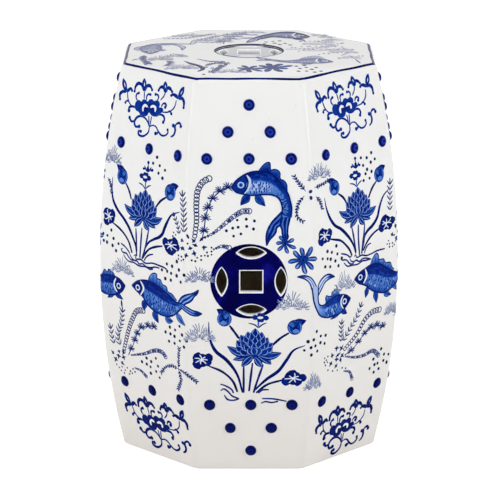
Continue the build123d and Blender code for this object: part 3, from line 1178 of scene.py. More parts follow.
def daisy(art, centre, reach, petals=8, turn=0.3, tone=0.58, broad=0.29):
    """Small water flower: narrow drops round a dark middle, dark at their edge with a pale streak inside."""
    new_motif(art)
    for bearing in turn + np.arange(petals) * 2 * np.pi / petals:
        length = art.rng.uniform(0.74, 1.08) * reach
        swing = bearing + art.rng.uniform(-0.14, 0.14)
        spine = [(centre[0] + k * math.cos(b), centre[1] + k * math.sin(b))
                 for k, b in ((0.5, bearing), (length * 0.6, bearing), (length, swing))]
        petal(
            art, spine, reach * broad, 0.9, tone - 0.08, tone - art.rng.uniform(0.14, 0.3), 0.7, 2.6,
            (1.5, 0.5)
        )
        stroke(art, spine[:2], 1.2, (0.76, 0.55), (1, 0.2), edge=tone)
    dab(art, centre, (1.7, 1.5), 0.86)


def stars(art, places, reach=4.2):
    """Little crosses: four short pointed touches that meet, turned each its own way."""
    new_motif(art)
    for place in places:
        turn = art.rng.uniform(0, 1.5)
        for bearing in turn + np.arange(4) * np.pi / 2:
            length = reach * art.rng.uniform(0.45, 1.1)
            tip = (place[0] + length * math.cos(bearing), place[1] + length * math.sin(bearing))
            stroke(art, [place, tip], 2.0, (0.95, 0.86), (1.0, 0.1), 0.25, (0.1, 0.3))


# %% [markdown]
# The carp are the painter's best work. A body is one film between the line of the back and the line of the
# belly, with the tones running across it: dark back, a pale line along the side, a mid-blue belly. Scales
# are small dark ticks in rows. Fins and tail are fans between two lines with ribs drawn from one to the
# other.


# %% Carp
def fan(art, inner, outer, tones=(0.76, 0.5), ribs=7, outline=0.84):
    """Fin between two lines: colour fades from one to the other and ribs run across it."""
    count = int(np.clip(max(line_length(inner), line_length(outer)) / 1.4, 8, 40))
    near = smooth_line(inner, count)
    far = smooth_line(outer, count)
    share = np.linspace(0, 1, 7)
    grid = near[:, None] * (1 - share)[None, :, None] + far[:, None] * share[None, :, None]
    film(art, grid, (tones[0] + (tones[1] - tones[0]) * share)[None, :])
    for rib in np.linspace(0, 1, ribs + 2)[1:-1]:
        place = int(rib * (count - 1))
        stroke(art, [near[place], near[place] * 0.15 + far[place] * 0.85], 0.8, (0.8, 0.6), (0.9, 0.5),
               edge=sum(tones) / 2)
    for line in (near, far):
        stroke(
            art, line[::2] if count % 2 else np.concatenate([line[::2], line[-1:]]), 1.1, outline, (0.7, 0.7)
        )


def fluke(art, upper, lower, tone):
    """Half of a tail between two lines that meet at its dark tip: pale and dark streaks run along it."""
    count = int(np.clip(max(line_length(upper), line_length(lower)) / 1.3, 10, 40))
    share = np.array([0, 0.1, 0.24, 0.36, 0.48, 0.62, 0.76, 0.9, 1])
    swing = np.array([0.3, 0.24, -0.16, -0.06, 0.28, 0.1, -0.22, 0.22, 0.3])
    one = smooth_line(upper, count)
    two = smooth_line(lower, count)
    grid = one[:, None] * (1 - share)[None, :, None] + two[:, None] * share[None, :, None]
    tip = np.clip((np.linspace(0, 1, count) - 0.6) / 0.25, 0, 1)[:, None]
    load = np.clip(tone + 1.3 * swing, 0.02, 0.92)[None, :]
    film(art, grid, load * (1 - tip) + 0.9 * tip)
    for line in (one, two):
        stroke(art, line[::2] if count % 2 else np.concatenate([line[::2], line[-1:]]), 1.3, 0.9, (0.7, 0.7))


BODY_SHARE = [0, 0.05, 0.3, 0.38, 0.43, 0.52, 0.86, 1]
DARK_BACK = [0.84, 0.8, 0.77, 0.73, 0.36, 0.41, 0.46, 0.68]
PALE_BACK = [0.82, 0.76, 0.7, 0.64, 0.38, 0.42, 0.48, 0.66]
SEAT_BACK = [0.66, 0.64, 0.6, 0.5, 0.26, 0.3, 0.36, 0.56]
LEAPING_BACK = [0.88, 0.85, 0.77, 0.56, 0.3, 0.18, 0.25, 0.56]


def carp(art, back, belly, eye, gill, dorsal, fins, flukes, tones=DARK_BACK, head=0.26, tail=0.44,
         stalk=0.86, band=0.03):
    """Carp from snout to tail: back and belly lines, eye, gill arc, dorsal fin, (spine, width) fins, flukes.

    Past the share called stalk the flank fades to the tail's tone; band is the tone of the gill arc.
    """
    new_motif(art)
    for upper, lower in flukes:
        fluke(art, upper, lower, tail)
    fin_tone = 0.52 if band < 0.1 else 0.74
    for inner, outer in dorsal:
        fan(art, inner, outer, (fin_tone + 0.08, fin_tone - 0.22), 8, 0.88)
    for number, (spine, width) in enumerate(fins):
        petal(
            art, spine, 1.12 * width, 0.92, 0.56 - 0.08 * number, 0.74 - 0.08 * number, 0.42, 1.5, (1.2, 0.9)
        )
        stroke(art, spine[1:], 1.4, (0.7, 0.92), edge=0.6)
    rows, columns = 60, 25
    top = smooth_line(back, rows)
    under = smooth_line(belly, rows)
    share = np.linspace(0, 1, columns)
    grid = top[:, None] * (1 - share)[None, :, None] + under[:, None] * share[None, :, None]
    place = np.linspace(0, 1, rows)[:, None]
    flank = np.interp(share, BODY_SHARE, tones)[None, :]
    flank = flank + (tail + 0.05 - flank) * np.clip((place - stalk) / (0.1 + 0.3 * (1 - stalk)), 0, 1)
    face = np.clip((head - place) / 0.02, 0, 1)
    film(art, grid, flank * (1 - face) + (0.84 - 1.2 * max(band - 0.05, 0)) * face)
    for _ in range(9):
        depth = art.rng.uniform(0.06, 0.3)
        start = int(rows * art.rng.uniform(head + 0.04, min(stalk, 0.8)))
        run = slice(start, min(start + 7, rows), 2)
        stroke(art, top[run] * (1 - depth) + under[run] * depth, 1.3, art.rng.uniform(0.62, 0.74), edge=0.76)
    light, dark = (0.2, 0.64) if band > 0.1 else (0.29, 0.76)
    for _ in range(int(line_length(back) / 7.5)):
        depth = art.rng.uniform(0.44, 0.9)
        row = int(rows * art.rng.uniform(head + 0.05, min(stalk + 0.04, 0.92)))
        dab(art, top[row] * (1 - depth) + under[row] * depth, (2.0, 1.1), light, art.rng.uniform(0, 3),
            edge=light + 0.1)
    ticks = max(8, int(line_length(back) / 5.0))
    for number, depth in enumerate((0.49, 0.62, 0.75, 0.87)):
        for step in range(ticks):
            along = (0.97 - head) * (step + 0.5 * (number % 2)) / ticks
            along = head + 0.05 + along + art.rng.uniform(-0.012, 0.012)
            row = int(min(along, 0.985) * (rows - 1))
            here = grid[row, int((depth + art.rng.uniform(-0.04, 0.04)) * (columns - 1))]
            ahead = grid[min(row + 1, rows - 1), 12] - grid[row, 12]
            ahead = ahead / max(np.linalg.norm(ahead), 1e-6)
            down = np.array([ahead[1], -ahead[0]]) * (1 if under[row, 1] < top[row, 1] else -1)
            size = art.rng.uniform(0.7, 1.15) * min(1.0, np.linalg.norm(top[row] - under[row]) / 18)
            if size > 0.3 and (along < stalk + 0.05 or tail > 0.5):
                shade = dark + art.rng.uniform(-0.09, 0.09) if along < stalk else 0.4
                stroke(art, [here - down * 1.5 * size, here + ahead * 0.9 * size, here + down * 1.5 * size],
                       1.15 * size, shade, (0.5, 0.5), edge=0.65 * dark)
    for line in (back, belly):
        stroke(art, line, 1.3, 0.88, (0.7, 0.7), edge=0.6)
    stroke(art, gill, 2.4, band, (0.35, 0.35))
    inner_gill = np.asarray(gill, dtype=float) + (np.asarray(eye) - np.asarray(gill[1])) * 0.22
    stroke(art, inner_gill, 0.9, 0.9, (0.5, 0.5), edge=0.84)
    dab(art, eye, (3.5, 3.3), 1.5 * band)
    dab(art, eye, (2.1, 2.0), 0.6)
    dab(art, eye, (1.2, 1.15), 0.97 if band < 0.1 else 0.78)


# %% [markdown]
# Over and under the pond each slanting side carries a scroll crest: four pointed buds on tendrils that
# spring from a peony, with loose volutes below it. Top and bottom crests are one drawing, shifted and a
# little narrowed.


# %% Scroll crest
def volute(art, points, width, tone):
    """Tendril that thickens to a round drop at its curled end."""
    stroke(art, points, width * 1.15, tone, (0.5, 1.0), belly=(0.5, 0.8))
    dab(art, points[-1], (width * 0.9, width * 0.9), tone)


def bud(art, foot, tip, left, right, tone):
    """Pointed bud: a broad dark stroke and a thinner one round a white slit, and a curled barb each side."""
    foot, tip = np.asarray(foot, dtype=float), np.asarray(tip, dtype=float)
    middle = foot * 0.45 + tip * 0.55
    out = side_step(np.stack([foot, middle, tip]))[1] * 2.1
    bold = tone / 0.78
    for side, width in ((1, 2.9), (-1, 2.0)):
        stroke(art, [foot, middle + out * side, tip], width * bold, tone, (0.9, 0.4))
    for barb in (left, right):
        stroke(art, [foot, *barb], 3.5 * bold, (tone - 0.04, tone + 0.04), (0.8, 0.5), belly=(0.15, 0.6))
        dab(art, barb[-1], (1.4, 1.4), tone + 0.04)
    dab(art, foot * 0.8 + tip * 0.2, (2.5, 2.1), tone)


def scroll_crest(art, tone, shift=(0.0, 0.0), narrow=1.0, slope=0.0):
    """Peony with four buds and its volutes: the left crest's places, narrowed, sloped and then shifted."""
    new_motif(art)

    def at(*places):
        return [(narrow * x + shift[0], y + slope * x + shift[1]) for x, y in places]

    thin = [[(-43.5, 425), (-40.5, 417), (-33, 411), (-26, 410)], [(-16.5, 430), (-15, 422)],
            [(17, 434.5), (16, 430.5), (11, 424.5)], [(36, 428), (34.5, 420.5), (28, 414.5), (16, 412)],
            [(-4, 405), (-2, 394)], [(0.5, 405), (-0.5, 394)]]
    for line in thin:
        stroke(art, at(*line), 1.3, tone, (0.8, 0.6))
    curls = [
        ([(-39.5, 415), (-42.5, 416), (-44.5, 413.5)], 1.6), ([(25, 413.5), (28.5, 415), (31, 412.5)], 1.8),
        ([(-25.5, 418.5), (-28.5, 422), (-28, 425.5), (-25, 427)], 1.7),
        ([(-11, 421), (-11.5, 425.5), (-9.5, 428), (-6, 428)], 1.7),
        ([(6, 423), (7.5, 427.5), (5.5, 429.5), (2, 429.5)], 1.7),
        ([(14, 417.5), (15.5, 421), (19, 422), (21.5, 420), (20, 418)], 1.9),
        ([(-26.5, 410.5), (-33, 411), (-37.3, 409), (-37, 405.8)], 2.4),
        ([(-1, 393), (-4.5, 398), (-11, 402), (-18, 402.5), (-24, 399), (-26, 394), (-23, 390),
          (-17.5, 391)], 2.2),
        ([(-25.5, 396), (-31, 394.6), (-34.5, 398.2)], 2.2),
        ([(-1, 393), (-1.5, 387.5), (-6, 383), (-11.5, 381), (-17.5, 383), (-17.5, 386), (-14, 386)], 2.0),
        ([(-1, 393), (3.5, 395.5), (9, 395), (14, 390.5), (20, 387), (26, 388), (29.5, 392), (28.5, 394.5)],
         1.6),
        ([(14, 390.5), (13, 388.5), (10, 387.5)], 2.2),
        ([(7, 406), (13.5, 409), (19.5, 408), (21.5, 404.5), (20, 401.5)], 2.0),
        ([(34.5, 387.5), (39, 390.5), (40.5, 395.5), (39, 400)], 2.2),
        ([(39, 400), (42, 403.5), (46.5, 404.5), (48.5, 401.5)], 2.0),
    ]
    for line, width in curls:
        volute(art, at(*line), width * tone / 0.78, tone)
    dab(art, at((36.5, 400.5))[0], (2.0, 2.0), tone)
    buds = [
        ((-45.5, 425.5), (-53.5, 439), [(-52, 424.5), (-55, 421.5), (-54, 416)],
         [(-41.8, 428), (-38.8, 430), (-36.3, 428)]),
        ((-16.5, 430.5), (-19.5, 444), [(-23, 437), (-28, 437.3), (-31.5, 433.5), (-32, 428)],
         [(-12.5, 437), (-8, 437), (-4.5, 433.5)]),
        ((17, 434), (14.5, 445.5), [(12.5, 439), (8, 438), (6, 434.5)],
         [(20.5, 439.5), (24.5, 438.5), (27.5, 436)]),
        ((39, 430.5), (45, 444), [(33.5, 433), (30, 433.5), (27, 432)],
         [(44.5, 431.5), (48, 428.5), (49, 422)]),
    ]
    for foot, tip, left, right in buds:
        bud(art, *at(foot, tip), at(*left), at(*right), tone)
    peony = [
        (-28.5, 410.5), (-28.5, 415), (-25.5, 419), (-21.5, 419.5), (-19, 418), (-17, 421), (-12.5, 421.5),
        (-8.5, 420), (-6.5, 422.5), (-2, 423.5), (1.5, 422), (5, 423.5), (9.5, 422.5), (11.5, 419.5),
        (10.5, 416.5), (15, 417), (18, 415), (17, 412), (13.5, 410), (10.5, 407.5), (5.5, 405.5), (0, 406),
        (-4.5, 408.5), (-6.5, 405), (-11.5, 403), (-17.5, 403.5), (-21, 406.5), (-25.5, 407.5),
    ]
    pool(art, at(*peony), tone - 0.03)
    hooks = [
        [(-14, 408.2), (-14.8, 412.3), (-12.5, 415.3), (-7.5, 414.3)],
        [(-3.2, 414.3), (0.8, 416.4), (5, 415), (5.2, 410.6)]
    ]
    for hook in hooks:
        stroke(art, at(*hook), 2.7, 0.02, (0.6, 0.7))


# %% [markdown]
# The left-hand slanting side: lotus in the upper half, two carp meeting nose to nose over a bed of weeds
# below.


# %% Left pond
def paint_left_pond(art):
    """Slanting side seen to the left of the front."""
    scroll_crest(art, 0.75)
    scroll_crest(art, 0.92, (9.5, -370.0), 1.0, -0.025)
    coral(art, (-55, 352), (26, 20))
    dots(art, [(16.5, 362), (11, 354.5), (22, 353.5), (31, 350), (11, 346.5), (21, 345), (28, 340.5)])
    arrow_sprig(art, (3.5, 343.5), 10.5)
    stems(art, [[(-10.5, 277), (-9.5, 266), (-8.5, 249)], [(-0.5, 279), (-1.5, 264.5), (-3, 243.5)],
                [(11, 281), (8, 266.5), (4.5, 253.5), (0.5, 243)]], 1.7, (0.74, 0.88))
    stems(art, [[(-31, 325), (-25, 318), (-20, 308)], [(37, 321), (28, 315), (20, 306)]], 1.9)
    stems(art, [[(-50, 276), (-37.5, 271), (-30, 266.5), (-22.5, 259.5), (-16, 246.5)],
                [(34, 264.5), (21.5, 261), (12, 256.5), (5.5, 250), (1, 243.5)]], 1.8)
    lotus(art, (2, 292.5))
    lotus_finial(art, (1.5, 323.5), (0.5, 337))
    rolled_leaf(art, (-37, 332), (-47.5, 343))
    rolled_leaf(art, (42, 327.5), (54.5, 336.5))
    blade(
        art,
        [(-53, 328), (-53, 315), (-50, 302), (-43, 293), (-30, 283), (-21.5, 274.5), (-15.5, 265.5),
         (-11, 258), (-8, 244.5)]
    )
    blade(
        art,
        [(59, 308), (46, 302), (40, 293), (36.5, 286), (32.5, 277.5), (28.5, 274), (19.5, 269.5), (12, 265),
         (4.5, 255.5)]
    )
    veined_leaf(art, (-56, 282), (21, 21), 0.6)
    veined_leaf(art, (47.5, 267.5), (30, 18), 0.9)
    stems(
        art,
        [[(-35, 254.5), (-27.5, 251.5), (-22.5, 248), (-19.5, 245)],
         [(19, 252), (12.5, 250), (7, 246), (4, 241.5)],
         [(-31.5, 249), (-34.5, 247.5), (-32.5, 245), (-25, 244), (-22, 241), (-18, 238.5), (-11, 239)],
         [(-30.5, 242), (-27, 238.5), (-22, 236), (-13, 236), (-5, 234), (6.5, 235), (14, 233.5), (19, 235)],
         [(-20, 244.5), (-17.5, 241.5), (-13, 239), (-7, 238.5), (-5, 236.5), (2, 237.5), (7, 235.5),
          (14, 235.5), (23, 238), (29.5, 238)],
         [(-13, 244), (-9.5, 246), (-10, 241.5), (-1, 242), (4.5, 239.5), (18, 241.5), (29.5, 241),
          (40, 239.5), (43.5, 237.5)]], 1.25, (0.8, 0.88)
    )
    dots(
        art,
        [(-51.5, 266.5), (-65, 260), (-58, 259), (-47.5, 257.5), (-39, 253), (-64, 252), (-58.5, 251),
         (-49, 249), (-43, 244), (57.5, 251.5), (41.5, 245.5), (50, 244.5), (61, 242.5), (69, 238),
         (33.5, 237), (42, 237), (48.5, 236), (57.5, 235), (39, 228), (48, 228), (64, 229)]
    )
    dots(
        art,
        [(60, 259), (65, 258.5), (60, 255), (64.5, 254), (68, 256), (51, 283.5), (54.5, 281.5), (50, 279)],
        0.9
    )
    fir_weed(art, [(67, 287), (65, 308), (62, 326)])
    fir_weed(art, [(60, 284), (57, 292), (51, 302)], 5.0)
    stars(art, [(65, 268)], 3.6)
    coral(art, (-32, 227), (35, 18))
    carp(
        art,
        [(-16.5, 208.5), (-8, 215), (5, 219), (20, 218.5), (28, 216.5), (36.5, 213), (45, 209.5),
         (55, 204.5), (66, 204.5)],
        [(-16.5, 208.5), (-10.5, 204.5), (2, 198), (8.5, 191.5), (18.5, 186.5), (33.5, 183.5), (48.5, 186),
         (57, 191.5), (66, 199.5)],
        (-6.5, 208), [(-2, 217), (3, 210), (-2, 200)],
        [([(9, 219), (20, 218.5), (28, 216.5), (36.5, 213), (45, 209.5), (55, 205)],
          [(10.5, 219.5), (13.5, 225.5), (21, 230.5), (25, 230), (25, 225.5), (31.5, 224.5), (33.5, 220.5),
           (41, 218.5), (43, 213.5), (50, 212), (54.5, 208.5), (57.5, 206)])],
        [([(8, 194), (3.5, 190), (2.5, 182)], 8.5), ([(20.5, 187), (21, 181), (26, 172.5)], 9.0),
         ([(39, 185), (42, 180.5), (50.5, 180)], 8.0), ([(56, 191.5), (61, 186), (69.5, 179)], 7.5)],
        [([(59.5, 205), (65.5, 212), (71.5, 215.5), (79, 217.5), (85.5, 221.5)],
          [(67, 200.5), (71, 205), (75, 207), (78.5, 210), (80, 213), (84, 217), (85.5, 221.5)]),
         ([(65.5, 204), (72.5, 201), (79.5, 197), (83.5, 196), (89, 193.5)],
          [(62, 201), (70.5, 196), (77.5, 192), (83.5, 191), (89, 193.5)])],
    )
    carp(
        art,
        [(-28, 205.5), (-35, 210.5), (-45.5, 213), (-60, 212), (-72, 209), (-84, 206), (-94, 206)],
        [(-28, 205.5), (-32.5, 199), (-43.5, 192), (-56, 189), (-72, 191), (-84, 198), (-94, 202)],
        (-39, 203), [(-43.5, 211.5), (-46.5, 203), (-42, 195)],
        [([(-45.5, 213), (-56, 212.5), (-68, 210)],
          [(-45.5, 213), (-48, 217), (-52.5, 217.5), (-55.5, 220), (-58, 215.5), (-63, 218), (-66, 213),
           (-68, 211)])],
        [([(-47, 193.5), (-39.5, 191), (-32.5, 188)], 6.0), ([(-48, 192), (-54.5, 188), (-59, 185)], 5.0)],
        [([(-92, 206), (-98, 212), (-106, 219)], [(-95, 204), (-101, 208), (-106, 219)]),
         ([(-92, 203), (-98, 199), (-105, 192)], [(-95, 204), (-101, 203), (-105, 192)])],
        head=0.3,
    )
    fir_weed(art, [(-42, 131), (-45.5, 138), (-43.5, 148), (-37, 160), (-35, 172)], 7.5)
    fir_weed(art, [(-53.5, 130), (-55.5, 138), (-57, 147)], 7.5)
    stroke(art, [(-35, 178), (-35.5, 187)], 2.4, 0.9, grey=0.5)
    ring_chain(art, [(-37, 124), (-34, 132), (-27.5, 148.5), (-19, 166), (-8, 180), (1, 182)])
    burst_weed(
        art, [(-23.5, 130), (-16, 142.5), (-11, 151.5), (-3.5, 160.5), (8, 165), (18, 166)], (-29.5, 121),
        5.4
    )
    bead_weed(
        art, [(-24.5, 122), (-14.5, 125), (-0.5, 129.5), (12, 135.5), (22, 138.5), (30.5, 137.5), (34, 134)]
    )
    dots(
        art,
        [(60.5, 176.5), (44.5, 172), (53, 170.5), (64, 167), (37, 164.5), (45, 164), (51.5, 162.5),
         (60, 159), (70, 161), (42, 154.5), (51, 154), (66, 153), (17.5, 128), (1.5, 124.5), (9, 122),
         (20, 119), (1, 117), (-7, 118), (7, 115), (16, 111.5), (6.5, 107), (21, 105)]
    )
    feather_weed(art, [[(54.5, 124), (56, 136), (58, 149)], [(54.5, 124), (42, 125), (33, 121), (25, 113)],
                       [(54.5, 124), (66, 121), (77, 112)], [(54.5, 124), (57, 111), (51, 99)]])
    stars(
        art,
        [(-56.5, 117.5), (-52.5, 110.5), (-42, 108), (-38, 122.5), (-45.5, 122), (-38.5, 116), (-47, 116)]
    )
    bead_weed(art, [(-20, 107), (-10, 106), (-2, 101)], 1.8)
    dots(
        art,
        [(-48, 101), (-43, 103), (-38, 100), (-34, 104), (-29, 101), (-24, 105), (-40, 96), (-52, 104),
         (-45, 98), (-31, 97), (-26, 99), (-21, 102)], 0.95
    )


# %% [markdown]
# The right-hand slanting side has the same plants, but its carp swim at two heights and the small one lifts
# its tail over the arris onto the front.


# %% Right pond
def paint_right_pond(art):
    """Slanting side seen to the right of the front."""
    scroll_crest(art, 0.75, (3.8, 1.5), 0.893)
    scroll_crest(art, 0.92, (1.3, -375.5), 0.893, -0.034)
    coral(art, (-53, 352), (32, 18))
    dots(
        art,
        [(15.5, 356), (25, 354.5), (33, 359), (31, 348.5), (38, 351), (18, 347), (24, 341.5), (21, 337),
         (31, 338), (17, 330), (27, 331)]
    )
    arrow_sprig(art, (6, 346), 11)
    stems(
        art,
        [[(-7, 283), (-5, 275), (-2.5, 262), (-0.5, 250.5)],
         [(4.5, 282), (4, 269), (4.5, 256.5), (5.5, 246)], [(15, 281), (13.5, 270.5), (11, 259), (9, 247)]],
        1.7, (0.74, 0.88)
    )
    stems(art, [[(-26, 323), (-18, 317), (-12, 308)], [(38, 326), (30, 319), (23, 309)]], 1.9)
    stems(art, [[(-42, 274), (-34.5, 272), (-26, 269.5), (-17, 262.5), (-10.5, 255), (-7, 248)],
                [(40, 271), (30, 267.5), (21.5, 262), (15.5, 256), (11.5, 250)]], 1.8)
    lotus(art, (6, 294.5), size=0.97)
    lotus_finial(art, (5, 325), (4, 338))
    rolled_leaf(art, (-31, 331), (-41, 341), 0.95)
    rolled_leaf(art, (43, 333), (54, 341), 0.95)
    blade(
        art,
        [(-48, 322), (-46, 310), (-40, 296), (-33.5, 288), (-24.5, 282.5), (-15.5, 274.5), (-8.5, 266.5),
         (-4, 259), (-0.5, 249)]
    )
    blade(
        art,
        [(59, 314), (48, 307), (41, 296), (36, 284), (28, 276.5), (19.5, 272), (14.5, 267), (12.5, 259),
         (9, 248)]
    )
    veined_leaf(art, (-51, 279), (24, 19), 0.4)
    veined_leaf(art, (51, 275), (27, 18), 0.2)
    fir_weed(art, [(58, 289), (59, 304), (60, 318)])
    stems(
        art,
        [[(25, 256.5), (20, 255.5), (16, 252), (13.5, 246.5)],
         [(-25.5, 254), (-18.5, 252), (-13.5, 249.5), (-10.5, 247), (-7.5, 248)],
         [(-24.5, 250), (-23.5, 246.5), (-18, 245.5), (-15, 244), (-12.5, 241), (-8.5, 238.5), (-4, 239)],
         [(-20.5, 242.5), (-15, 237.5), (-8, 237), (4, 236.5), (10, 238.5), (16.5, 238), (25, 238)],
         [(-11, 245.5), (-8.5, 242), (-4, 240.5), (-0.5, 241.5), (5, 239), (10, 241), (16.5, 240.5),
          (23.5, 238)],
         [(-3.5, 246), (-1, 248), (0.5, 244.5), (5.5, 245), (9, 245.5), (16.5, 243.5), (25, 244),
          (34.5, 245.5), (48, 245.5)]], 1.25, (0.8, 0.88)
    )
    dots(art, [(-32.5, 264.5), (-47, 261), (-40, 258.5), (-31, 255), (-55, 254), (-47, 252.5), (-42, 251),
               (-24, 248.5), (-34.5, 247.5), (-51, 244), (-43, 242.5), (-29.5, 241)])
    dots(art, [(54.5, 253.5), (52, 250), (56, 249.5), (61, 249.5), (64, 247), (56, 246), (61, 245.5)], 0.9)
    stars(art, [(60.5, 259.5), (68, 253)])
    carp(
        art,
        [(-3, 219.5), (5, 225.5), (15, 228.5), (23.5, 231), (37, 230), (50, 223), (62.5, 216), (76, 211)],
        [(-3, 219.5), (4, 213.5), (15.5, 208.5), (25.5, 201), (38, 195.5), (51, 193.5), (62, 197.5),
         (76, 206)],
        (6.5, 220), [(14.5, 228.5), (17, 220), (12, 211.5)],
        [([(23.5, 231), (37, 230), (50, 223), (62, 216.5)],
          [(23.5, 231.5), (27, 237.5), (34.5, 242.5), (37, 240), (37.5, 235), (46, 233.5), (48.5, 229),
           (57.5, 227), (60, 221.5), (64, 218)])],
        [([(18, 206), (18, 200), (16, 193.5)], 6.5), ([(31, 198.5), (34, 191), (35, 183.5)], 7.5),
         ([(47, 195), (53, 190.5), (60, 188.5)], 7.0), ([(61, 202), (66, 197), (70, 192)], 6.0)],
        [([(70, 213), (77, 219), (86, 226)], [(75, 208), (81, 213), (86, 226)]),
         ([(71, 206), (79, 205), (88, 199)], [(75, 208), (82, 210), (88, 199)])],
        head=0.22,
    )
    carp(
        art,
        [(-9, 198.5), (-15.5, 203.5), (-24, 206), (-32.5, 206.5), (-43.5, 203.5), (-50.5, 200.5),
         (-56.5, 200), (-61, 203), (-62.5, 208.5), (-62.5, 215.5), (-62.5, 224)],
        [(-9, 198.5), (-12.5, 194), (-18.5, 188.5), (-25.5, 184.5), (-35, 183.5), (-47.5, 184),
         (-58.5, 188.5), (-64.5, 197), (-68.5, 206), (-70.5, 217), (-71.5, 224)],
        (-19, 197), [(-21, 205), (-24.5, 198.5), (-20.5, 188.5)],
        [([(-27, 206), (-38, 205.5), (-50.5, 201)],
          [(-27.5, 206.5), (-29.5, 210.5), (-31.5, 214), (-35, 213), (-40, 212), (-40.5, 208), (-44.5, 208),
           (-49.5, 210), (-50.5, 205)])],
        [([(-24, 188), (-19.5, 185), (-14, 181.5)], 6.0), ([(-26.5, 184), (-34, 182), (-41.5, 180.5)], 3.0)],
        [([(-71.5, 221), (-74.5, 230), (-79.5, 234), (-88, 236.5)],
          [(-65, 223.5), (-68.5, 229.5), (-73, 235.5), (-81, 238), (-88, 236.5)]),
         ([(-64, 222), (-59.5, 229), (-53.5, 233), (-45.5, 234.5), (-35.5, 229.5)],
          [(-62, 213), (-57, 219.5), (-51, 226.5), (-43.5, 229), (-35.5, 229.5)])],
        PALE_BACK, 0.2, 0.16, 0.5,
    )
    coral(art, (-20, 219), (33, 20))
    coral(art, (-62, 110), (22, 20))
    coral(art, (62, 171), (22, 14))
    fir_weed(art, [(-21, 150), (-22, 160), (-22, 170)], 7.0)
    fir_weed(art, [(-18, 150), (-6, 164), (3, 174), (8, 184)], 7.0)
    ring_chain(art, [(-14, 139), (4, 152), (18, 168), (30, 174), (41, 174)])
    burst_weed(art, [(-3, 134), (8, 142), (18, 150), (28, 155), (38, 155.5), (48, 152)], (-14, 131), 5.2)
    bead_weed(art, [(-12, 129), (5, 124), (20, 123), (35, 125), (45, 117)])
    stars(
        art,
        [(-28, 143), (-35, 135), (-20, 141), (-25, 134), (-27, 129), (-36, 126), (-18, 132), (-20, 127),
         (-27, 121)]
    )
    dots(
        art,
        [(-47, 135), (-42, 136), (-44, 132), (-47, 130), (-42, 129), (-45, 126), (-40, 119), (-32, 116),
         (-24, 115), (-16, 116), (-10, 114)], 0.95
    )
    dots(
        art,
        [(-63, 171), (-56, 164), (-48, 163), (-67, 162), (-74, 160.5), (-56, 156), (-64, 154), (-70, 153),
         (-49, 153.5), (-60.5, 147), (-69, 144), (49, 124), (55, 116), (63, 114), (37, 114), (45, 107),
         (55, 108), (40, 106.5), (61, 104.5), (32, 103.5), (48, 99.5), (40, 97)]
    )
    bead_weed(art, [(-12, 111), (-3, 108), (3, 98)], 1.8)


# %% [markdown]
# The front: one carp curls over the coin with its nose in the weeds, and a lotus stands under the coin. The
# sides that carry no coin repeat the plants and fill the middle with a second carp.


# %% Front pond
def front_carp(art, shift=(0.0, 0.0)):
    """Leaping carp with its tail curled down."""
    def at(*places):
        return [(x + shift[0], y + shift[1]) for x, y in places]

    carp(
        art,
        at((-19.5, 338), (-14, 345), (-6.5, 350.5), (1.5, 354), (10, 355), (18.5, 354.5), (25.5, 351.5),
           (32, 345.5), (37, 338.5), (42.5, 331.5), (45.5, 322.5), (47, 315.5), (46.5, 304)),
        at((-19.5, 337.5), (-14, 332), (-6.5, 330), (1.5, 328.5), (10, 329), (18.5, 329.5), (25.5, 329),
           (32, 326), (35, 321.5), (36.5, 315.5), (36, 304)),
        at((-9, 340))[0], at((-2.5, 351), (1, 345), (0, 338), (-5, 330.5)),
        [(at((11, 355), (18.5, 354.5), (25.5, 351.5), (32, 345.5), (37, 338.5), (41, 333)),
          at((11, 356), (15, 361), (19.5, 364.5), (22, 365), (23.5, 361), (23.5, 356.5), (27.5, 357),
             (32, 356), (34, 353), (34.5, 346.5), (38, 345), (41, 341.5), (42, 333)))],
        [(at((1, 329), (-3.5, 324.5), (-9.5, 317.5)), 8.0), (at((7, 329), (12.5, 322.5), (18, 316.5)), 8.0)],
        [(at((36.5, 311), (31, 305), (24.5, 297.5), (20.5, 290), (19, 282.5), (19.5, 272)),
          at((41, 303), (35, 295.5), (30.5, 292), (30, 288), (26.5, 282.5), (23.5, 279.5), (19.5, 272))),
         (at((37, 306), (34.5, 295), (36.5, 290), (37, 284.5), (39.5, 278.5), (40.5, 274)),
          at((46.5, 309), (44.5, 299.5), (43, 292), (42.5, 283.5), (42, 278.5), (40.5, 274)))],
        LEAPING_BACK, 0.24, 0.62, 0.52, 0.14,
    )


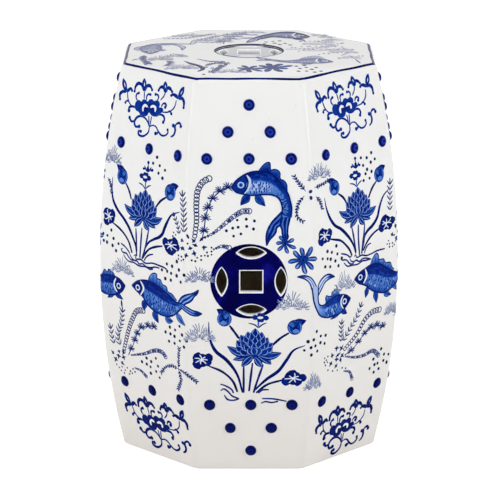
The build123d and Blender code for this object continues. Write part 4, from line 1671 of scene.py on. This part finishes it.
def paint_front_pond(art, coin=True):
    """Front and back with their coin, or the same plants round a second carp where there is none."""
    front_carp(art)
    if not coin:
        front_carp(art, (-19.0, -91.0))
    daisy(art, (40, 275), 13.5, 7, 0.4)
    daisy(art, (60, 256), 17.5, 8, 0.1)
    ring_chain(art, [(-60, 283), (-58, 300), (-58, 320), (-56, 335), (-50, 344), (-44, 347)])
    burst_weed(
        art, [(-50, 289), (-48, 303), (-45, 315), (-40, 325), (-32, 333), (-23, 337)], (-52, 279), 5.6
    )
    bead_weed(art, [(-52, 280), (-40, 286), (-30, 294), (-22, 301), (-14, 307), (-6, 311), (0, 311)], 2.8)
    bead_weed(art, [(-39, 268), (-30, 271.5), (-22, 270)], 2.2)
    stars(
        art,
        [(-75.5, 277.5), (-61, 277.5), (-52.5, 279.5), (-74, 268.5), (-65, 269), (-59.5, 272.5),
         (-50, 270.5), (-70, 261), (-60.5, 263.5)], 3.6
    )
    stroke(art, [(-69, 285), (-66.5, 280)], 2.0, 0.9, grey=0.4)
    dots(
        art,
        [(-25, 289), (-21, 300), (-18, 292), (-17, 283), (-13, 301), (-12, 293), (-9, 285.5), (-3, 302),
         (-2.5, 294), (5, 291), (6, 300)], 1.4
    )
    dots(
        art,
        [(-76.5, 258.5), (-73.5, 255.5), (-63.5, 255.5), (-59.5, 254.5), (-57.5, 258.5), (-53, 260.5),
         (-53, 256), (-49, 261), (-46.5, 264.5), (-45.5, 260.5), (-41.5, 262), (-41.5, 265.5), (-41.5, 270),
         (-68, 274.5)], 0.9
    )
    arms = [
        [(62.5, 333), (58, 338.5), (54.5, 342.5), (50.5, 349)], [(75.5, 326), (81.5, 320), (85, 311.5)],
        [(61, 328), (56, 321.5), (52.5, 312), (54, 304), (59, 300)], [(73.5, 336), (83.5, 337), (93, 339.5)]
    ]
    feather_weed(art, arms if coin else arms[:3])
    dab(art, (68, 332.5), (2.0, 1.6), 0.8, 0.7, 0.5)
    dab(art, (68.5, 325.5), (1.6, 2.2), 0.8, 0.3, 0.5)
    coral(art, (-55, 238), (30, 17))
    coral(art, (-55, 170), (32, 20))
    stems(
        art,
        [[(-6, 132), (-6, 115), (-6, 98)], [(4, 135), (2, 118), (0, 100)], [(16, 133), (10, 115), (5, 98)]],
        1.7, (0.75, 0.9)
    )
    stems(art, [[(-22, 180), (-17, 173), (-11, 164)], [(45, 171), (37, 166), (24, 154)]], 1.9)
    stems(art, [[(-45, 131), (-30, 124), (-18, 112), (-13, 99)], [(38, 114), (20, 108), (8, 98)]], 1.8)
    lotus(art, (6.5, 145.5), FRONT_SKIRT)
    if coin:
        lotus_finial(art, (10.5, 177), (13, 189))
        coral(art, (48, 207), (34, 19))
    rolled_leaf(art, (-27.5, 188), (-36, 199), 0.95)
    rolled_leaf(art, (51, 178), (64, 185.5), 0.95)
    blade(art, [(-45, 184), (-44, 165), (-38, 150), (-25, 138), (-14, 122), (-7, 98)])
    blade(art, [(63, 156), (50, 150), (42, 138), (33, 125), (20, 115), (5, 100)])
    veined_leaf(art, (-53, 138), (25, 19), 0.5)
    veined_leaf(art, (50, 116), (27, 19), 0.1)
    stems(
        art,
        [[(-32.5, 109), (-26, 106.5), (-18.5, 100.5), (-17.5, 97.5)],
         [(-32, 100.5), (-29, 103), (-23.5, 99.5), (-19.5, 94.5), (-12, 91)],
         [(-28, 95.5), (-24.5, 90), (-16, 89), (-11, 91)], [(10.5, 97.5), (15, 101.5), (22.5, 102)],
         [(14.5, 91), (27.5, 90.5), (42.5, 87.5)], [(13.5, 85), (18, 87), (25.5, 86), (33, 87.5)]], 1.3,
        (0.8, 0.88)
    )
    dots(art, [(62, 150)], 1.4)


# %% [markdown]
# The seat is painted like a side laid flat: three carp swim round the coin between weeds, dots and two
# flowers.


# %% Seat pond
def paint_seat_pond(art):
    """Round of carp and weeds on the seat; places are seen from above, with the front at the bottom."""
    carp(
        art,
        [(-113, -12), (-122, 2), (-126, 20), (-122, 36), (-110, 47), (-96, 48), (-84, 46)],
        [(-113, -12), (-106, -2), (-102, 12), (-102, 28), (-104, 38), (-96, 40), (-84, 40)],
        (-113, -1), [(-122, 6), (-113, 9), (-104, 4)],
        [([(-126, 14), (-126, 24), (-122, 36)], [(-128, 10), (-133, 20), (-130, 32), (-122, 38)])],
        [([(-104, 8), (-99, 8), (-95, 8)], 9.0)],
        [([(-90, 46), (-78, 47), (-64, 40)], [(-88, 42), (-76, 40), (-64, 40)]),
         ([(-90, 42), (-82, 30), (-77, 4)], [(-84, 41), (-74, 24), (-77, 4)])],
        head=0.22, tail=0.34,
    )
    # Painted glare: the seat's carp, weeds and specks are re-toned and greyed by region, standing in for the
    # glaze's glare on a seat seen at a low angle.
    glare_wash(art, 0, 0.6, 0.8)
    far_carp = len(art.films)
    carp(
        art,
        [(72, 92), (62, 112), (48, 122), (34, 118), (22, 104), (10, 86), (4, 72)],
        [(72, 92), (66, 82), (54, 78), (40, 82), (28, 86), (18, 76), (10, 68)],
        (62, 96), [(56, 116), (52, 100), (56, 80)],
        [([(60, 113), (48, 122), (34, 118)], [(60, 116), (52, 127), (40, 126), (32, 118)])],
        [([(52, 81), (60, 71), (66, 62)], 9.0)],
        [([(6, 76), (0, 64), (-3, 46)], [(12, 70), (8, 58), (-3, 46)]),
         ([(8, 80), (-2, 82), (-10, 76)], [(8, 72), (0, 74), (-10, 76)])],
        tones=SEAT_BACK, head=0.24, tail=0.34,
    )
    glare_wash(art, far_carp, 1.06, 0.6)
    near_carp = len(art.films)
    carp(
        art,
        [(95, -57), (86, -46), (72, -44), (58, -50), (42, -57), (28, -52), (18, -46)],
        [(95, -57), (86, -64), (72, -67), (56, -67), (40, -64), (28, -58), (18, -50)],
        (86, -55), [(78, -45), (76, -55), (79, -66)],
        [([(80, -45), (68, -45), (56, -51)], [(86, -40), (76, -28), (64, -36), (56, -51)])],
        [([(72, -66), (66, -70), (58, -73)], 7.0)],
        [([(24, -50), (16, -42), (8, -40)], [(24, -54), (14, -50), (8, -40)]),
         ([(24, -56), (16, -58), (8, -56)], [(24, -54), (14, -52), (8, -56)])],
        head=0.24, tail=0.34,
    )
    glare_wash(art, near_carp, 0.62, 0.8)
    stroke(art, [(-30, -26), (-18, -35.5), (-4, -39.8), (12, -38)], 1.3, 0.8, grey=0.3)
    daisy(art, (0, -97), 19.0, 7, 0.2, 0.93, 0.3)
    daisy(art, (27, -90), 24.0, 8, 0.35, 0.93, 0.3)
    dots(
        art,
        [(53, -83), (62, -78), (64, -88), (75, -88), (57, -94), (70, -97), (55, -107), (64, -106),
         (73, -110), (80, -105), (-42, -60), (-33, -66), (-26, -75), (-48, -88), (-41, -93), (-36, -105),
         (-50, -122), (-39, -115), (20, 52), (28, 56), (36, 60), (30, 44), (42, 44), (18, 40), (36, 36),
         (48, 34)], 2.2
    )
    left_weeds = len(art.films)
    ring_chain(art, [(-66, 46), (-62, 66), (-48, 80), (-36, 96)], 4.0, width=1.1)
    ring_chain(art, [(-98, 84), (-76, 82), (-60, 94), (-44, 108)], 4.0, width=1.1)
    burst_weed(art, [(-28, 56), (-20, 72), (-16, 90), (-10, 106)], (-30, 40), 10.0)
    fir_weed(art, [(-34, 44), (-32, 64), (-26, 84), (-26, 104)], 9.0)
    for x, y, wide, tall in ((-103, -37, 30, 26), (-76, -84, 34, 26), (-22, -108, 34, 18), (0, 122, 36, 18),
                             (-40, 70, 34, 30), (-72, 104, 34, 24), (-84, -24, 26, 22)):
        coral(art, (x, y), (wide, tall), 0.5)
    for line in ([(-66, 54), (-46, 50), (-28, 58)], [(-34, 98), (-14, 104), (8, 100)],
                 [(-58, -46), (-46, -58), (-30, -62)]):
        bead_weed(art, line, 2.6)
    feather_weed(art, [[(-93, -49), (-88, -62), (-92, -76)], [(-120, -17), (-121, -36), (-114, -65)],
                       [(-49, -83), (-40, -70), (-26, -69)], [(-45, -116), (-36, -100), (-30, -82)]], 7.0)
    glare_wash(art, left_weeds, 0.8, 0.7)
    right_weeds = len(art.films)
    ring_chain(art, [(46, 8), (64, 12), (84, 22), (100, 38)], 4.0, width=1.1)
    burst_weed(art, [(92, 58), (100, 74), (92, 92), (84, 104)], (84, 44), 10.0)
    fir_weed(art, [(62, 4), (84, 6), (108, 16)], 9.0)
    bead_weed(art, [(106, -20), (114, -4), (116, 12)], 3.0)
    for x, y, wide, tall in ((82, 50, 34, 28), (108, 8, 30, 30), (116, -28, 20, 20)):
        coral(art, (x, y), (wide, tall), 0.4)
    glare_wash(art, right_weeds, 0.42, 0.9)
    specks = len(art.films)
    for line in ([(48, 16), (74, 28), (106, 28)], [(56, -2), (80, 10), (118, 14)],
                 [(64, 40), (90, 44), (112, 52)], [(82, -18), (102, -6), (126, -4)],
                 [(58, 58), (80, 64), (98, 72)], [(100, -36), (116, -30), (128, -20)]):
        places = smooth_line(line, 10)
        dots(art, places + art.rng.uniform(-2.4, 2.4, places.shape), 1.5)
    glare_wash(art, specks, 0.66, 0.9)
    blade(art, [(-73.5, -55), (-66, -68), (-54, -86), (-51.5, -98), (-57, -109)], 6.0)
    blade(art, [(-138, -50), (-130, -40), (-122, -34)], 2.4)
    stroke(art, [(121, -40), (126, -60)], 1.6, 0.9)


# %% [markdown]
# Laying the films: the places go onto the wall, or onto the crown, at the height of their coat. The lower
# edge of a strip is sunk into the clay, so every strip is closed, and all normals are the wall's, so the
# glaze runs over wall and colour alike. One piece per side keeps a painting whole.


# %% Lay the paintings
def wall_surface(side):
    """Placing on a side: straight across its flat, round the arris and on along the next flat."""
    def place(across, level, lift):
        reach = apothem(level)
        half_flat = (reach - ARRIS) * HALF_TURN_TAN
        run = np.abs(across)
        bend = np.clip((run - half_flat) / ARRIS, 0, TURN)
        rest = np.maximum(run - half_flat - ARRIS * TURN, 0)
        along = np.minimum(run, half_flat) + ARRIS * np.sin(bend) + rest * math.cos(TURN)
        outward = reach - ARRIS + ARRIS * np.cos(bend) - rest * math.sin(TURN)
        lean = (level - BOW_CENTRE[1]) / BOW_RADIUS
        flat = np.sqrt(1 - lean**2)
        sense = np.sign(across)
        normal = np.stack([sense * np.sin(bend) * flat, np.cos(bend) * flat, lean], -1)
        spot = np.stack([sense * along, outward, level], -1) + normal * lift[:, None]
        turn = TURN * side
        frame_turn = np.array(
            [[math.cos(turn), math.sin(turn), 0], [math.sin(turn), -math.cos(turn), 0], [0, 0, 1]]
        )
        return spot @ frame_turn.T, normal @ frame_turn.T
    return place


def seat_surface(across, depth, lift):
    """Placing on the crowned seat."""
    top = crown_level(across, depth)
    normal = np.stack([across, depth, top - CROWN_CENTRE[1]], -1)
    normal = normal / np.linalg.norm(normal, axis=1, keepdims=True)
    return np.stack([across, depth, top], -1) + normal * lift[:, None], normal


def make_brushwork(name, specular, least_grey, violet):
    """Underglaze cobalt from nearly white to navy, cooler or greyer by stroke, pooled unevenly."""
    material, tree, shader = new_material(name)
    place = object_place(tree)
    tone = attribute(tree, "tone")
    grey = attribute(tree, "grey")
    pool = noise(tree, place, 230.0, 3.0, 0.4)
    swing = math_node(tree, "MULTIPLY_ADD", pool, 0.34, -0.17)
    load = math_node(tree, "MULTIPLY", tone, 1.1)
    deep = math_node(tree, "MINIMUM", load, 1.0)
    uneven = math_node(tree, "ADD", tone, math_node(tree, "MULTIPLY", swing, deep))
    blue = colour_ramp(tree, uneven, [
        (0.0, (238, 238, 237)), (0.12, (200, 213, 238)), (0.22, (158, 185, 230)), (0.35, (94, 137, 212)),
        (0.5, (44, 95, 184)), (0.65, (12, 57, 151)), (0.8, (1, 26, 118)), (1.0, (1, 9, 62)),
    ])
    slate = colour_ramp(tree, uneven, [(0.0, (238, 238, 237))] + [
        (tone_place, (red + violet, green - violet, blue_share))
        for tone_place, (red, green, blue_share) in (
            (0.15, (204, 207, 219)), (0.35, (163, 169, 193)), (0.55, (106, 115, 150)), (0.8, (45, 52, 95)),
            (1.0, (15, 20, 60)),
        )
    ])
    mix = add_node(
        tree, "ShaderNodeMix", {"data_type": "RGBA"}, Factor=math_node(tree, "MAXIMUM", grey, least_grey)
    )
    tree.links.new(blue, mix.inputs["A"])
    tree.links.new(slate, mix.inputs["B"])
    tree.links.new(mix.outputs["Result"], shader.inputs["Base Color"])
    glaze_surface(tree, shader, place, specular)
    return material


brushwork = make_brushwork("brushwork", 0.02, 0.0, 0)
# Painted glare: the seat's brushwork is always at least a tenth slate-grey and a little violet.
seat_brushwork = make_brushwork("seat_brushwork", 0.03, 0.1, 4)
FILM_ROOT = -0.00025


def lay_painting(name, art, surface, paint):
    """Turn a painting's films into one piece: each is a tube of strip, two sunk edges and closed ends."""
    places, lifts, tones, greys, faces = [], [], [], [], []
    start = 0
    for grid, tone, grey, lift, closed in art.films:
        rows, columns = grid.shape[:2]
        wide = columns + 2
        places.append(np.concatenate([grid[:, :1], grid, grid[:, -1:]], 1).reshape(-1, 2))
        heights = np.full((rows, wide), lift * MM)
        heights[:, [0, -1]] = FILM_ROOT
        lifts.append(heights.ravel())
        tones.append(np.concatenate([tone[:, :1], tone, tone[:, -1:]], 1).ravel())
        greys.append(np.full(rows * wide, grey))
        faces += (grid_quads(rows, wide, close_rows=closed, close_columns=True) + start).tolist()
        if not closed:
            faces.append((start + np.arange(wide)).tolist())
            faces.append((start + (rows - 1) * wide + np.arange(wide)[::-1]).tolist())
        start += rows * wide
    spots = np.concatenate(places) * MM
    points, normals = surface(spots[:, 0], spots[:, 1], np.concatenate(lifts))
    piece = mesh_object(name, points, faces, [paint], None)
    piece.data.normals_split_custom_set_from_vertices(normals.tolist())
    set_attribute(piece, "tone", np.concatenate(tones))
    set_attribute(piece, "grey", np.concatenate(greys))
    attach(piece, "root")
    return piece


ponds = []
for side, name in enumerate(SIDE_NAMES):
    art = Painting(100 + side)
    if side in (3, 7):
        paint_left_pond(art)
    elif side in (1, 5):
        paint_right_pond(art)
    else:
        paint_front_pond(art, coin=side in (0, 4))
    ponds.append(lay_painting(f"{name}_painting", art, wall_surface(side), brushwork))
seat_art = Painting(90)
paint_seat_pond(seat_art)
ponds.append(lay_painting("seat_painting", seat_art, seat_surface, seat_brushwork))
print("paintings:", [(pond.name, len(pond.data.polygons)) for pond in ponds])

# %% [markdown]
# A line of dark cobalt follows the edge of the seat all the way round, a little unsteady as a hand draws it.


# %% Seat edge line
def make_edge_line():
    """Band on the rolled seat edge: an arc of its profile, slightly lifted, carried round; it wanders."""
    columns = np.arange(SIDES * COLUMNS_PER_SIDE)
    wander = 0.05 * np.sin(columns * 0.23) + 0.04 * np.sin(columns * 0.61 + 1.0)
    lower = math.radians(50) + wander
    upper = math.radians(77) + 0.8 * wander + 0.03 * np.sin(columns * 0.97)
    share = np.array([0, 0, 0.25, 0.5, 0.75, 1, 1])[:, None]
    lift = np.array([-0.0003, 0.0001, 0.0001, 0.0001, 0.0001, 0.0001, -0.0003])[:, None]
    angle = lower * (1 - share) + upper * share
    radius = SEAT_EDGE + lift
    reach = EDGE_CENTRE[0] + radius * np.cos(angle)
    level = EDGE_CENTRE[1] + radius * np.sin(angle)
    base = octagon_ring([EDGE_CENTRE[0]], [ARRIS - SEAT_EDGE])[0]
    outer = octagon_ring([EDGE_CENTRE[0] + SEAT_EDGE], [ARRIS])[0]
    plan = base[None] + (outer - base)[None] * ((reach - EDGE_CENTRE[0]) / SEAT_EDGE)[..., None]
    rings = np.concatenate([plan, level[..., None]], -1)
    faces = grid_quads(rings.shape[0], rings.shape[1], close_rows=True, close_columns=True)
    piece = mesh_object("seat_edge_line", rings.reshape(-1, 3), faces, [brushwork], 60.0)
    set_attribute(piece, "tone", np.full(len(piece.data.vertices), 0.9))
    set_attribute(piece, "grey", np.zeros(len(piece.data.vertices)))
    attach(piece, "root")
    return piece


def make_coin_line():
    """Dark line on the wall of the recess round the seat coin: a thin hoop, partly let into the clay."""
    bearing = np.linspace(0, 2 * np.pi, 120, endpoint=False)
    reach = SEAT_COIN_RADIUS + np.array([0.00035, 0.00005, 0.00005, 0.0014])
    drop = np.array([-0.0011, -0.0011, 0.00008, 0.00008])
    x = reach[:, None] * np.cos(bearing)
    y = reach[:, None] * np.sin(bearing)
    hoop = np.stack([x, y, crown_level(x, y) + drop[:, None]], -1)
    faces = grid_quads(len(reach), len(bearing), close_rows=True, close_columns=True)
    piece = mesh_object("seat_coin_line", hoop.reshape(-1, 3), faces[:, ::-1], [brushwork], 40.0)
    set_attribute(piece, "tone", np.full(len(piece.data.vertices), 0.95))
    set_attribute(piece, "grey", np.full(len(piece.data.vertices), 0.3))
    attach(piece, "root")
    return piece


edge_line = make_edge_line()
coin_line = make_coin_line()
print("edge line:", len(edge_line.data.polygons), "quads, coin line:", len(coin_line.data.polygons), "quads")

# %% [markdown]
# A plain sweep of white floor, a broad lamp on each side and one above: soft light that leaves long pale
# glints down the arrises. To the camera the floor is lifted to white, and it still takes the stool's shadow.


# %% Floor, light and camera
def make_floor():
    """Wide white floor; a little glow for camera, mirror and glass rays keeps it white round the shadow."""
    points = np.array([[-6, -6, 0], [6, -6, 0], [6, 6, 0], [-6, 6, 0]], dtype=float)
    material, tree, shader = new_material("floor_white")
    shader.inputs["Base Color"].default_value = (0.88, 0.88, 0.88, 1.0)
    shader.inputs["Roughness"].default_value = 0.9
    path = add_node(tree, "ShaderNodeLightPath")
    seen = math_node(tree, "MAXIMUM", path.outputs["Is Camera Ray"], path.outputs["Is Glossy Ray"])
    seen = math_node(tree, "MAXIMUM", seen, path.outputs["Is Transmission Ray"])
    shader.inputs["Emission Color"].default_value = (1.0, 1.0, 1.0, 1.0)
    tree.links.new(math_node(tree, "MULTIPLY", seen, 0.55), shader.inputs["Emission Strength"])
    floor = mesh_object("floor", points, [[0, 1, 2, 3]], [material])
    return floor


def add_lamp(name, place, target, size, power):
    """Square softbox at a place, aimed at a target."""
    light = bpy.data.lights.new(name, "AREA")
    light.shape = "RECTANGLE"
    light.size, light.size_y = size
    light.energy = power
    lamp = bpy.data.objects.new(name, light)
    bpy.context.scene.collection.objects.link(lamp)
    aim_at(lamp, place, target)
    return lamp


def aim_at(thing, place, target):
    """Put a lamp or camera at a place with its -Z towards the target and its Y upwards."""
    back = np.array(place, dtype=float) - np.array(target, dtype=float)
    back = back / np.linalg.norm(back)
    right = np.cross([0.0, 0.0, 1.0], back)
    right = right / np.linalg.norm(right)
    up = np.cross(back, right)
    matrix = np.eye(4)
    matrix[:3, 0], matrix[:3, 1], matrix[:3, 2], matrix[:3, 3] = right, up, back, place
    thing.matrix_world = matrix.T.tolist()


def make_world():
    """Even grey surroundings for the light, white to the camera."""
    world = bpy.data.worlds.new("studio")
    world.use_nodes = True
    tree = world.node_tree
    tree.nodes.clear()
    path = add_node(tree, "ShaderNodeLightPath")
    seen = math_node(tree, "MAXIMUM", path.outputs["Is Camera Ray"], path.outputs["Is Glossy Ray"])
    seen = math_node(tree, "MAXIMUM", seen, path.outputs["Is Transmission Ray"])
    around = add_node(tree, "ShaderNodeBackground", Strength=0.45)
    white = add_node(tree, "ShaderNodeBackground", Strength=1.0)
    white.inputs["Color"].default_value = (1.0, 1.0, 1.0, 1.0)
    around.inputs["Color"].default_value = (1.0, 1.0, 1.0, 1.0)
    mix = add_node(tree, "ShaderNodeMixShader", Fac=seen, i1=around.outputs[0], i2=white.outputs[0])
    output = add_node(tree, "ShaderNodeOutputWorld")
    tree.links.new(mix.outputs[0], output.inputs["Surface"])
    bpy.context.scene.world = world


FOCAL_PIXELS = 2542.35
IMAGE_PIXELS = 500
CAMERA_PLACE = np.array([0.0, -2.8793, 1.0341])
CAMERA_PITCH = math.radians(15.805)
AXIS_PIXEL = 249.0


def make_camera():
    """Long lens in front of the stool, looking slightly down."""
    data = bpy.data.cameras.new("camera")
    data.sensor_fit = "HORIZONTAL"
    data.sensor_width = 36.0
    data.lens = FOCAL_PIXELS / IMAGE_PIXELS * data.sensor_width
    data.shift_x = (IMAGE_PIXELS / 2 - AXIS_PIXEL) / IMAGE_PIXELS
    camera = bpy.data.objects.new("camera", data)
    bpy.context.scene.collection.objects.link(camera)
    aim = CAMERA_PLACE + np.array([0.0, math.cos(CAMERA_PITCH), -math.sin(CAMERA_PITCH)])
    aim_at(camera, CAMERA_PLACE, aim)
    bpy.context.scene.camera = camera


make_floor()
make_world()
make_camera()
add_lamp("left_softbox", (-2.2, -1.42, 0.8), (0.0, 0.0, 0.2), (0.3, 1.4), 24.0)
add_lamp("right_softbox", (2.2, -1.42, 0.8), (0.0, 0.0, 0.2), (0.3, 1.4), 24.0)
add_lamp("top_softbox", (0.0, -0.4, 2.6), (0.0, 0.0, 0.3), (1.6, 1.6), 15.0)
add_lamp("rear_strip", (0.0, 3.2, 1.62), (0.0, 0.0, 0.45), (3.0, 0.5), 2.5)
bpy.context.scene.view_settings.view_transform = "Standard"
